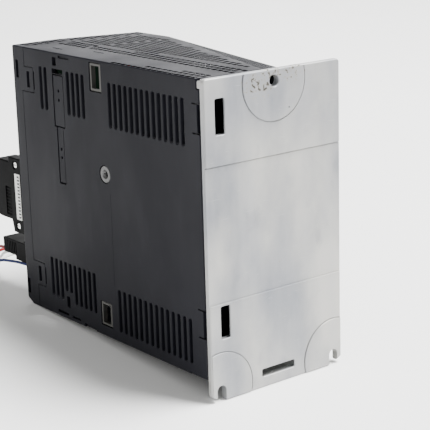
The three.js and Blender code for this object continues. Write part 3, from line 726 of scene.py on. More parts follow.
class Workshop:
    """Places finished solids in the frame and hands them to their bodies."""

    def __init__(self, envelope: Envelope) -> None:
        """Keep the drive's envelope."""
        self.envelope = envelope

    def place(self, name: str, solid: Solid, finish: Finish, body: Body = Body.DRIVE,
            replaces: Sequence[str] = (), crease: float = 32, weighted: bool = True) -> Piece:
        """Make a piece of the model from a solid in millimetres.

        Args:
            name: The piece's name.
            solid: Its shape.
            finish: Its surface.
            body: The body it moves with.
            replaces: The nodes that it stands for.
            crease: Edges that turn further than this, in degrees, stay sharp.
            weighted: Whether large faces keep their own normals beside rounded edges.

        Returns:
            The piece.
        """
        mesh = solid.mesh.copy()
        mesh.transform(Matrix.Scale(MM, 4) @ Matrix.Translation((0, self.envelope.front, 0)))
        mesh.materials.clear()
        mesh.materials.append(finish.material())
        mesh.polygons.foreach_set("material_index", [0] * len(mesh.polygons))
        mesh.shade_smooth()
        mesh.set_sharp_from_angle(angle=math.radians(crease))
        thing = bpy.data.objects.new(name, mesh)
        if weighted:
            thing.modifiers.new("normals", "WEIGHTED_NORMAL").keep_sharp = True
            mesh = evaluated(thing)
            thing = bpy.data.objects.new(name, mesh)
        bpy.context.scene.collection.objects.link(thing)
        mesh.name = name
        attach(thing, body.value)
        if replaces:
            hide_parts(*replaces)
        LOG.info("%s: %d faces on %s", name, len(mesh.polygons), body.value)
        return thing


# ---- camera and stage
@dataclass
class CameraRig:
    """The camera behind the drive's right side, aimed down along it."""

    stand: Triple = (455.3, 640.3, 281.4)
    look: Triple = (-0.596, -0.7595, -0.2607)
    roll: float = -1.67
    lens: float = 117.6
    sensor: float = 36.0

    def build(self) -> None:
        """Make the camera and give it to the scene."""
        data = bpy.data.cameras.new("camera")
        data.lens = self.lens
        data.sensor_width = self.sensor
        camera = bpy.data.objects.new("camera", data)
        camera.location = Vector(self.stand) * MM
        aim = Vector(self.look).to_track_quat("-Z", "Y")
        camera.rotation_mode = "QUATERNION"
        camera.rotation_quaternion = aim @ Quaternion((0, 0, 1), math.radians(self.roll))
        bpy.context.scene.collection.objects.link(camera)
        bpy.context.scene.camera = camera


@dataclass
class StudioStage:
    """A pale floor under the leaning drive, and large soft lights.

    The drive stands on the plate's foot and on the casing's lower front edge, so the floor rises
    towards the front in the drive's own frame.
    """

    envelope: Envelope
    reach: float = 6.0
    chin: float = 6.4

    def slope(self) -> float:
        """Give the floor's rise for each unit towards the front."""
        return self.envelope.floor / (self.envelope.depth - self.chin)

    def build(self) -> None:
        """Make the floor, the lights and the surroundings."""
        self._floor()
        self._light("key", (-1.3, 1.6, 1.8), 1.4, 40.0)
        self._light("roof", (-0.8, 0.55, 2.1), 1.1, 185.0)
        self._light("rim", (-1.6, -1.8, 0.95), 1.3, 18.0)
        self._light("fill", (1.7, 1.0, 0.9), 1.6, 6.0)
        world = bpy.data.worlds.new("surroundings")
        world.use_nodes = True
        back = next(n for n in world.node_tree.nodes if n.type == "BACKGROUND")
        back.inputs["Color"].default_value = (0.93, 0.93, 0.92, 1.0)
        back.inputs["Strength"].default_value = 0.6
        bpy.context.scene.world = world

    def _floor(self) -> None:
        """Make the sloping floor and its paper-like finish."""
        shape = bmesh.new()
        foot = self.envelope.row(0, self.envelope.depth, 0)
        rise = self.slope() * self.reach
        corners = [(-self.reach, -self.reach, rise), (self.reach, -self.reach, rise),
            (self.reach, self.reach, -rise), (-self.reach, self.reach, -rise)]
        shape.faces.new([shape.verts.new(foot + Vector(corner)) for corner in corners])
        mesh = bpy.data.meshes.new("floor")
        shape.to_mesh(mesh)
        shape.free()
        shader = Shader("floor_paper")
        clouds = shader.spread(shader.noise(2.0, detail=3.0), 0.3, 0.7, 0.0, 1.0)
        mesh.materials.append(shader.finish(
            Base_Color=shader.blend(clouds, (0.93, 0.93, 0.92, 1), (0.96, 0.96, 0.95, 1)), Roughness=0.8,
            Normal=shader.relief(shader.noise(900.0), 0.00002)))
        floor = bpy.data.objects.new("floor", mesh)
        bpy.context.scene.collection.objects.link(floor)

    def _light(self, name: str, place: Triple, size: float, power: float) -> None:
        """Make a round soft light aimed at the drive."""
        data = bpy.data.lights.new(name, "AREA")
        data.shape = "DISK"
        data.size = size
        data.energy = power
        light = bpy.data.objects.new(name, data)
        light.location = place
        light.rotation_mode = "QUATERNION"
        light.rotation_quaternion = (Vector((0, 0, 0.08)) - Vector(place)).to_track_quat("-Z", "Y")
        bpy.context.scene.collection.objects.link(light)


# ---- loose wires
@dataclass
class LooseWire:
    """A thin sleeved wire along given points, in the drive's millimetres."""

    name: str
    finish: Finish
    points: list[Triple]
    plugs: tuple[str, ...]
    thick: float = 1.8
    sides: int = 14
    steps: int = 4
    collar_long: float = 6.0
    pin_long: float = 8.0

    def path(self) -> list[Vector]:
        """Sample the centripetal curve through the points."""
        knots = [Vector(point) for point in self.points]
        knots = [2 * knots[0] - knots[1], *knots, 2 * knots[-1] - knots[-2]]
        line = []
        for a, b, c, d in zip(knots, knots[1:], knots[2:], knots[3:]):
            line += [self._between(a, b, c, d, step / self.steps) for step in range(self.steps)]
        return [*line, knots[-2]]

    @staticmethod
    def _between(a: Vector, b: Vector, c: Vector, d: Vector, share: float) -> Vector:
        """Give the point at a share of the way from b to c on the curve through all four."""
        first, middle, last = ((q - p).length ** 0.5 for p, q in ((a, b), (b, c), (c, d)))
        start = ((b - a) / first - (c - a) / (first + middle) + (c - b) / middle) * middle
        end = ((c - b) / middle - (d - b) / (middle + last) + (d - c) / last) * middle
        square, cube = share * share, share ** 3
        return ((2 * cube - 3 * square + 1) * b + (cube - 2 * square + share) * start
                + (3 * square - 2 * cube) * c + (cube - square) * end)

    def tube(self, line: Sequence[Vector]) -> Solid:
        """Sweep a round section along the line."""
        shape = bmesh.new()
        side = Vector((0, 0, 1))
        rows = []
        for i, point in enumerate(line):
            ahead = (line[min(i + 1, len(line) - 1)] - line[max(i - 1, 0)]).normalized()
            side = (side - ahead * side.dot(ahead)).normalized()
            other = ahead.cross(side)
            rows.append([shape.verts.new(point + (a * side + b * other)) for a,
                b in disc((0, 0), self.thick / 2, self.sides)])
        for low, high in zip(rows, rows[1:]):
            for i in range(self.sides):
                j = (i + 1) % self.sides
                shape.faces.new((low[i], low[j], high[j], high[i]))
        shape.faces.new(rows[0])
        shape.faces.new(rows[-1])
        return Solid.of(shape)

    def build(self, workshop: Workshop, plugs: dict[str, Piece]) -> None:
        """Args:
            workshop: Where pieces are placed.
            plugs: The plugs by their nodes' names.
        """
        line = self.path()
        piece = workshop.place(f"lead_{self.name}", self.tube(line), self.finish,
            replaces=[f"wire_{self.name}"], weighted=False)
        route = [workshop.envelope.row(*point) for point in line]
        length = sum((b - a).length for a, b in zip(route, route[1:]))
        LOG.info("lead_%s: %.1f mm long", self.name, length / MM)
        tuple(route[0])
        [tuple(p) for p in route]
        [plugs[name] for name in self.plugs]
        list(self._sleeve(workshop, line))

    def _sleeve(self, workshop: Workshop, line: Sequence[Vector]) -> list[Piece]:
        """Make the flared collar and the crimped pin at the wire's end, in line with its last stretch."""
        ahead = (line[-1] - line[-2]).normalized()
        place = Matrix.Translation(line[-1]) @ Vector((0, 0,
            1)).rotation_difference(ahead).to_matrix().to_4x4()
        near, joint = CLEARANCE, CLEARANCE + self.collar_long
        collar = turned(Z, (0, 0), [(1.1, near + 0.4), (1.25, near), (1.4, near + 0.3), (1.4, near + 1.5),
            (1.15, near + 2.6), (1.0, joint)], 24)
        pin = turned(Z, (0, 0), [(0.8, joint - 0.4), (0.8, joint + self.pin_long - 0.5),
            (0.6, joint + self.pin_long)], 20)
        crimp = block((-1, 1), (0.55, 1), (-0.5, 0.5))
        crimps = row(crimp, NICKEL, count=4, first=(0, 0, joint + 1.6), step=(0, 0, 1.5))
        return [workshop.place(f"collar_{self.name}", collar.moved(place), self.finish,
            replaces=[f"end_sleeve_{self.name}"]), workshop.place(f"ferrule_{self.name}",
            pin.cut(crimps).moved(place), NICKEL)]


# ---- plastic shell
SIDE_SCREW: Pair = (90.5, 106.1)
FRAMES: tuple[Pair, ...] = ((158.5, 15.2), (25.0, 13.6))
FRAME_Y = 85.5
FRAME_WIDE = 10.4
FAN_Y = 155.5
DOOR_AXLE: Pair = (1.7, 158.95)


@dataclass(frozen=True)
class VentRow:
    """A row of upright slots in the side walls."""

    first: float
    count: int
    low: float
    tall: float = 24.4
    left_drop: float = 0.0


@dataclass(frozen=True)
class GrilleField:
    """A staggered field of long holes in the roof, between two lines that may lean.

    A field with a fall lies on that one of the roof's two slopes, and the others are level.
    """

    front: float
    back: float
    left: float
    right: float
    left_lean: float = 0.0
    right_lean: float = 0.0
    long: float = 3.6
    wide: float = 2.7
    pitch_x: float = 4.15
    pitch_y: float = 4.6
    deep: float = 4.0
    undercut: float = 0.25
    fall: int | None = None


@dataclass
class Shell:
    """The plastic box as one hollow solid, before the seam splits it into casing and front cover."""

    envelope: Envelope
    wall: float = 2.2
    roof: float = 0.4
    edge: float = 0.7
    chin_back: float = 6.0
    chin_rise: float = 3.2
    vent_wide: float = 2.7
    vent_pitch: float = 4.9
    vent_round: float = 1.15
    flare: float = 0.3
    ridge_front: Pair = (13.0, 38.0)
    ridge_back: float = 7.0
    drop_front: Pair = (30.0, 2.0)
    drop_back: float = 14.0
    seam_top: float = 12.4
    seam_middle: float = 9.3
    seam_low: float = 13.2
    tab_reach: float = 21.7
    tab_tall: float = 14.0
    tabs: Pair = (149.6, 33.0)
    vents: tuple[VentRow, ...] = (
        VentRow(29.9, 2, 134.3), VentRow(57.9, 4, 134.3), VentRow(98.2, 14, 132.8, left_drop=14.0),
        VentRow(30.2, 3, 22.8, 23.6), VentRow(44.9, 2, 28.8, 17.6), VentRow(54.7, 5, 22.8, 23.6),
        VentRow(98.9, 14, 17.8),
    )
    grilles: tuple[GrilleField, ...] = (
        GrilleField(46, 172, -33.1, 10.4, left_lean=39.5, right_lean=-5.4, fall=0),
        GrilleField(52, 173, -41.4, -40.2, right_lean=42.0, fall=1),
        GrilleField(3.4, 12.0, -41, 11.5, fall=0, deep=1.4),
        GrilleField(3.4, 12.0, 14.5, 42, deep=1.4),
        GrilleField(19, 44, -33.1, 11.0, fall=0, deep=1.4),
        GrilleField(19, 44, 14.6, 24.5, deep=1.4),
        GrilleField(46, 173, 14.6, 23.4, left_lean=-5.6, deep=1.4),
        GrilleField(99, 174, 43.2, 43.4, left_lean=-12.5, deep=1.4),
    )

    @property
    def inner(self) -> float:
        """The inside of the side wall."""
        return self.envelope.half - self.wall

    @property
    def facets(self) -> list[tuple[Vector, Vector]]:
        """The two planes that the roof falls along, each a point and a normal."""
        half, high = self.envelope.half, self.envelope.height
        front = Vector((*self.ridge_front, high))
        back = Vector((self.ridge_back, self.envelope.depth, high))
        corner = Vector((-half, self.drop_front[0], high - self.drop_front[1]))
        rear = Vector((-half, self.envelope.depth, high - self.drop_back))
        planes = []
        for a, b in ((front, back), (back, rear)):
            normal = (b - a).cross(corner - a).normalized()
            planes.append((a, normal if normal.z > 0 else -normal))
        return planes

    def lowered(self, solid: Solid, by: float) -> Solid:
        """Trim a solid by the roof's planes, lowered by a distance."""
        for point, normal in self.facets:
            solid = solid.trimmed(point - normal * by, normal)
        return solid

    def whole(self, end: float) -> Solid:
        """Build the hollow box with its slots and roof grille.

        Args:
            end: How far back the box runs.

        Returns:
            The box.
        """
        half, floor, high = self.envelope.half, self.envelope.floor, self.envelope.height
        side = [(self.chin_back, floor), (end, floor), (end, high), (0, high), (0, floor + self.chin_rise)]
        outer = self.lowered(prism(X, side, -half, half), 0).bevelled(self.edge, 3)
        hollow = block((-self.inner, self.inner), (self.wall, end + 5),
            (floor + self.wall, high - self.roof))
        return outer.cut(self.lowered(hollow, self.roof), *self._side_slots(), *self._roof_slots())

    def _side_slots(self) -> list[Solid]:
        """Give the cutters of the vent slots in both side walls."""
        cutters = []
        for vent in self.vents:
            for side in (1, -1):
                low = vent.low - (vent.left_drop if side < 0 else 0)
                slot = self._slot(side, vent.tall)
                cutters.append(row(slot, CHARCOAL, count=vent.count,
                    first=(0, vent.first, low + vent.tall / 2), step=(0, self.vent_pitch, 0)))
        return cutters

    def _slot(self, side: int, tall: float) -> Solid:
        """Make one flared slot cutter at the origin's height on a side."""
        half, wide = self.envelope.half, self.vent_wide
        narrow = rounded((0, 0), wide, tall, self.vent_round)
        open_mouth = rounded((0, 0), wide + 2 * self.flare, tall + 2 * self.flare,
            self.vent_round + self.flare)
        levels = [(self.inner - 1, narrow), (half - self.flare, narrow), (half, open_mouth),
            (half + 1, open_mouth)]
        return loft(X, [(side * level, outline) for level, outline in levels])

    def _roof_slots(self) -> list[Solid]:
        """Give the cutters of the roof's grille fields."""
        stagger, finish, high = StaggerPattern(), CHARCOAL.material(), self.envelope.height
        cutters = []
        for field in self.grilles:
            mouth = rounded((0, 0), field.wide, field.long, 0.5, 1)
            grown = rounded((0, 0), field.wide + 2 * field.undercut, field.long + 2 * field.undercut, 0.6,
                1)
            hole = loft(Z, [(high - field.deep, grown), (high - 0.4, grown), (high - 0.12, mouth),
                (high + 0.6, mouth)])
            columns = stagger.made(hole, finish, front=field.front, back=field.back, left=field.left,
                right=field.right, left_lean=field.left_lean, right_lean=field.right_lean,
                pitch_x=field.pitch_x, pitch_y=field.pitch_y)
            cutters.append(columns if field.fall is None else columns.moved(self._fall(field.fall)))
        return cutters

    def _fall(self, facet: int) -> Matrix:
        """Give the shear that lays a level cutter on one of the roof's slopes."""
        point, normal = self.facets[facet]
        lean = Matrix.Identity(4)
        lean[2][0], lean[2][1] = -normal.x / normal.z, -normal.y / normal.z
        lean[2][3] = (normal.x * point.x + normal.y * point.y) / normal.z
        return lean

    def seam(self, offset: float) -> Outline:
        """Give the line between cover and casing, from the roof down, moved back by an offset."""
        upper, lower = ((z + self.tab_tall / 2 + offset, z - self.tab_tall / 2 - offset) for z in self.tabs)
        top, middle, low, reach = (y + offset for y in (self.seam_top, self.seam_middle, self.seam_low,
            self.tab_reach))
        return [(top, self.envelope.height + 2), (top, upper[0]), (reach, upper[0]), (reach, upper[1]),
                (middle, upper[1]), (middle, lower[0]), (reach, lower[0]), (reach, lower[1]),
                (low, lower[1]), (low, self.envelope.floor - 2)]


@dataclass
class Casing:
    """The box behind the seam, with its recesses, clip notches, frame windows and fan guard, and two
    near-black sheets behind the plate's windows that paint the shade inside them.
    """

    shell: Shell
    seam_gap: float = 0.42
    latch_z: Pair = (148.0, 41.6)
    latch_reach: float = 7.8
    screw: Pair = SIDE_SCREW
    screw_hole: float = 10.3
    frames: tuple[Pair, ...] = FRAMES
    frame_y: float = FRAME_Y
    frame_wide: float = FRAME_WIDE
    fan_y: float = FAN_Y
    fan_reach: float = 17.4
    # Heights, depth and reach of the near-black sheets just in front of the plate's two windows: painted
    # shade where the inside would only be dark.
    shade_sheets: tuple[Pair, ...] = ((137.0, 160.0), (30.5, 53.0))
    shade_sheet_y: Pair = (3.6, 2.2)
    shade_sheet_reach: float = 16.0
    cut_wide: float = 0.7
    corner: Triple = (2.6, 2.3, 5.4)
    recess: float = 1.6
    recess_wide: float = 1.3
    recess_tall: float = 10.4
    openings: tuple[tuple[Pair, Pair], ...] = (
        ((44.6, 47.8), (19.0, 25.8)), ((43.2, 46.9), (160.5, 165.3)), ((42.2, 53.2), (156.1, 158.8)))
    foot_recess: tuple[Pair, Pair] = ((62.4, 74.4), (5, 13.8))
    clip_wide: float = 1.9
    clip_deep: float = 1.4
    mould_line: Pair = (94.8, 95.2)
    dents: tuple[tuple[Pair, Pair, float], ...] = (((34.3, 45.7), (13.9, 15.4), 1.7),
        ((49.5, 58.3), (13.9, 15.0), 1.7), ((49.4, 60.4), (165.2, 166.7), 0.8))
    slits: tuple[tuple[float, Pair], ...] = ((35.3, (29, 39)), (28.2, (60, 70)))
    guide: tuple[tuple[Pair, Pair], ...] = (((42.2, 53.2), (125.8, 155.8)), ((44.2, 51.0), (93.3, 126.6)))
    guide_step: float = 0.2
    moat: float = 0.75
    moat_deep: float = 1.8
    inlet_slots: int = 9
    guard_rings: Triple = (5.0, 9.2, 13.4)
    guard_wide: float = 1.2
    guard_thick: float = 1.6
    guide_dots: tuple[Pair, ...] = ((47.7, 146.6), (47.7, 141.4), (47.7, 113.4), (47.7, 108.6))

    def build(self, workshop: Workshop, whole: Solid, end: float) -> None:
        """Make the casing.

        Args:
            workshop: Where pieces are placed.
            whole: The hollow box.
            end: How far back the casing runs.
        """
        half = self.shell.envelope.half
        floor, high = self.shell.envelope.floor, self.shell.envelope.height
        rear = [*self.shell.seam(self.seam_gap), (end + 5, floor - 2), (end + 5, high + 2)]
        body = whole.within(prism(X, rear, -half - 1, half + 1))
        body = body.cut(*self._openings(end), *self._recesses(end), *self._floor_slots(floor))
        guard = self._guard(floor)
        workshop.place("casing_shell", body.join(*guard), CHARCOAL, replaces=["casing"])
        # Near-black sheets in front of the plate's windows, which paint the shade seen through them.
        x, y = (self.shell.inner - self.shade_sheet_reach, self.shell.inner - 0.1), [end - back
            for back in self.shade_sheet_y]
        shade_sheets = [block(x, y, z).bevelled(0.4, 2) for z in self.shade_sheets]
        workshop.place("clip_hoods", together(shade_sheets), GLOSS_BLACK)

    def _deep(self, y: Pair, z: Pair, radius: float = 0.4) -> Solid:
        """Make a cutter through the right wall."""
        centre = ((y[0] + y[1]) / 2, (z[0] + z[1]) / 2)
        outline = rounded(centre, y[1] - y[0], z[1] - z[0], radius)
        return prism(X, outline, self.shell.inner - 1, self.shell.envelope.half + 1)

    def _sunk(self, y: Pair, z: Pair, depth: float, radius: float = 0.5) -> Solid:
        """Make a cutter that sinks a recess of some depth in the right wall."""
        centre = ((y[0] + y[1]) / 2, (z[0] + z[1]) / 2)
        outline = rounded(centre, y[1] - y[0], z[1] - z[0], radius)
        half = self.shell.envelope.half
        return prism(X, outline, half - depth, half + 1)

    def _openings(self, end: float) -> list[Solid]:
        """Give the cutters that go through the right wall."""
        gap, thin = self.seam_gap, self.cut_wide / 2
        windows = [self._deep((self.frame_y - self.frame_wide / 2 - gap,
            self.frame_y + self.frame_wide / 2 + gap), (z - tall / 2 - gap, z + tall / 2 + gap), 0.8) for z,
            tall in self.frames]
        levels = [z + side * (self.latch_reach - thin) for z in self.latch_z for side in (1, -1)]
        cuts = [self._deep((end - 6, end + 2), (level - thin, level + thin), 0.1) for level in levels]
        half, high = self.shell.envelope.half, self.shell.envelope.height
        across, along, tall = self.corner
        corner = block((half - across, half + 1), (end - along, end + 2), (high - tall, high + 1))
        screw = prism(X, disc(self.screw, self.screw_hole / 2), self.shell.inner - 1, half + 1)
        tab, reach = self.shell.tab_reach, self.recess_tall / 2
        tabs = [self._sunk((tab, tab + self.recess_wide), (z - reach, z + reach), self.recess, 0.2)
                for z in self.shell.tabs]
        holes = [*tabs, *(self._deep(*limits) for limits in self.openings),
            self._sunk(*self.foot_recess, self.recess, 0.2)]
        return [*windows, *cuts, corner, screw, *holes]

    def _recesses(self, end: float) -> list[Solid]:
        """Give the cutters of the shallow recesses and the roof slits."""
        half, reach = self.shell.envelope.half, self.latch_reach
        mark = together([turned(X, dot, [(0.9, half - 1.75), (0.9, half)], 12) for dot in self.guide_dots])
        outer, inner = (self._sunk(*self.guide[0], deep).join(self._sunk(*self.guide[1], deep))
            for deep in (self.guide_step, self.moat_deep))
        guide = outer.join(inner.cut(self._guide_floor()))
        clips = [self._sunk((end - self.clip_wide, end + 3), (z - reach, z + reach), self.clip_deep, 0.3)
            for z in self.latch_z]
        mould = self._sunk(self.mould_line, (44, 96), 0.06, 0.15)
        dents = [self._sunk(*dent, 0.2) for dent in (*self.dents, ((161.6, end + 3), (5, 12.9), 1.0))]
        slits = [block((x - 0.6, x + 0.6), y, (160, 170)) for x, y in self.slits]
        return [guide, mark, *clips, mould, *dents, *slits]

    def _guide_floor(self) -> Solid:
        """Give what stays standing inside the narrow moat round the guide."""
        half, moat = self.shell.envelope.half, self.moat
        wide, thin = (block((half - 5, half + 2), (y[0] + moat, y[1] - moat), (z[0] + moat, z[1] - moat))
            for y, z in self.guide)
        return wide.join(thin)

    def _floor_slots(self, floor: float) -> list[Solid]:
        """Give the cutters of the floor's slots and the fan's inlet."""
        wall = self.shell.wall
        slot = prism(Z, rounded((0, 0), 3.2, 60, 1.5), floor - 1, floor + wall + 1)
        slots = row(slot, CHARCOAL, count=self.inlet_slots, first=(-24, 70, 0), step=(6, 0, 0))
        inlet = prism(Z, disc((0, self.fan_y), self.fan_reach, 48), floor - 1, floor + wall + 1)
        return [slots, inlet]

    def _guard(self, floor: float) -> list[Solid]:
        """Make the rings and spokes over the fan's inlet."""
        top, middle = floor + self.guard_thick, (0, self.fan_y)
        rings = []
        for radius in self.guard_rings:
            ring = prism(Z, disc(middle, radius, 40), floor, top)
            hole = prism(Z, disc(middle, radius - self.guard_wide, 40), floor - 1, top + 1)
            rings.append(ring.cut(hole))
        spoke = block((3.9, self.fan_reach + 0.6), (-0.6, 0.6), (floor + 0.02, top - 0.02))
        spokes = RingPattern().made(spoke, CHARCOAL.material(), count=6)
        return [*rings, spokes.moved(Matrix.Translation((0, self.fan_y, 0)))]


class Contact(Enum):
    """The kinds of contact that a socket holds."""

    BLADE = "blade"
    PIN = "pin"
    SPRING = "spring"
    TONGUE = "tongue"
    NONE = "none"


@dataclass
class SocketSpec:
    """One socket in the front cover: its middle, its opening and its contacts."""

    name: str
    x: float
    z: float
    wide: float
    tall: float
    contact: Contact
    ways: int
    finish: Finish


SOCKETS = (
    SocketSpec("mains", -31, 106, 16, 46, Contact.BLADE, 5, BLACK),
    SocketSpec("control_supply", -31, 69, 16, 24, Contact.BLADE, 3, BLACK),
    SocketSpec("motor", -31, 37, 16, 34, Contact.BLADE, 4, BLACK),
    SocketSpec("io", 33, 74, 14, 47, Contact.TONGUE, 40, GREY),
    SocketSpec("encoder", 6, 56, 12, 24, Contact.PIN, 6, GREY),
    SocketSpec("network", 6, 92, 14, 24, Contact.SPRING, 8, GREY),
    SocketSpec("feeder", 34, 38.7, 14, 13, Contact.NONE, 0, GREY),
    SocketSpec("relay", 36.5, 23.9, 11, 13, Contact.NONE, 0, GREY),
)


@dataclass
class FrontCover:
    """The part of the box in front of the seam, with display bay, socket openings and latch slots."""

    shell: Shell
    bay_x: float = 24.0
    bay_z: Pair = (134.25, 160.75)
    bay_deep: float = 6.2
    bay_floor: float = 2.0
    axle: Pair = DOOR_AXLE
    lamp: Pair = (-34.5, 147.0)
    usb: tuple[float, float, float, float] = (34.0, 112.0, 9.0, 12.0)
    window: tuple[float, float, float, float] = (-7.0, 147.5, 25.0, 13.0)
    keys: tuple[float, ...] = (9.5, 14.4, 19.3)
    key_hole: float = 4.6
    lamp_hole: float = 4.6
    play: float = 0.6
    grooves: Pair = (166.0, 131.0)
    edge_slots: tuple[tuple[Pair, Pair], ...] = (((3.2, 6.0), (149.4, 159.8)), ((1.2, 4.0), (17.6, 27.3)))
    edge_slot_deep: float = 1.5
    latch: Triple = (16.2, 2.8, 9.4)

    def build(self, workshop: Workshop, whole: Solid) -> None:
        """Make the cover from the hollow box."""
        half, wall = self.shell.envelope.half, self.shell.wall
        floor, high = self.shell.envelope.floor, self.shell.envelope.height
        outline = [(-1, floor - 2), (-1, high + 2), *self.shell.seam(0)]
        deep = self.bay_deep + self.bay_floor
        tub = block((-self.bay_x - wall, self.bay_x + wall), (0.2, deep),
            (self.bay_z[0] - wall, self.bay_z[1] + wall))
        body = whole.within(prism(X, outline, -half - 1, half + 1)).join(tub)
        workshop.place("front_cover_shell", body.cut(*self._holes(deep), *self._side_cuts(half)), CHARCOAL,
            replaces=["front_cover"])

    def _hole(self, x: float, z: float, wide: float, tall: float, deep: float = 5,
            lip: float = 0.5) -> Solid:
        """Make a cutter for an opening with a chamfered lip in the front."""
        wide, tall = wide + self.play, tall + self.play
        inner = rounded((x, z), wide, tall, 0.8)
        mouth = rounded((x, z), wide + 2 * lip, tall + 2 * lip, 0.8 + lip)
        return loft(Y, [(-1, mouth), (0, mouth), (lip, inner), (deep, inner)])

    def _holes(self, deep: float) -> list[Solid]:
        """Give the cutters of every opening in the front."""
        low, high = self.bay_z
        bay = self._hole(0, (low + high) / 2, 2 * self.bay_x - self.play, high - low - self.play,
            self.bay_deep, 0.4)
        axle = prism(X, disc(self.axle, 1, 16), -self.bay_x - 1.6, self.bay_x + 1.6)
        window = self._hole(*self.window, deep + 1)
        keys = [prism(Y, disc((x, self.window[1]), self.key_hole / 2, 24), 1, deep + 1)
                for x in self.keys]
        lamp = prism(Y, disc(self.lamp, self.lamp_hole / 2, 24), -1, 5)
        sockets = [self._hole(s.x, s.z, s.wide, s.tall) for s in SOCKETS]
        grooves = [block((-44.0, 44.0), (-1, 0.35), (z - 0.25, z + 0.25)) for z in self.grooves]
        return [bay, axle, window, *keys, lamp, *sockets, self._hole(*self.usb), *grooves]

    def _side_cuts(self, half: float) -> list[Solid]:
        """Give the cutters of the front edge slots and the latch slits."""
        y, wide, tall = self.latch
        slots = [prism(X, rounded(((y0 + y1) / 2, (z0 + z1) / 2), y1 - y0, z1 - z0, 0.4),
            half - self.edge_slot_deep, half + 1) for (y0, y1), (z0, z1) in self.edge_slots]
        latches = [prism(X, rounded((y, z), wide, tall, 0.4), self.shell.inner - 1, half + 1)
            for z in self.shell.tabs]
        return [*slots, *latches]


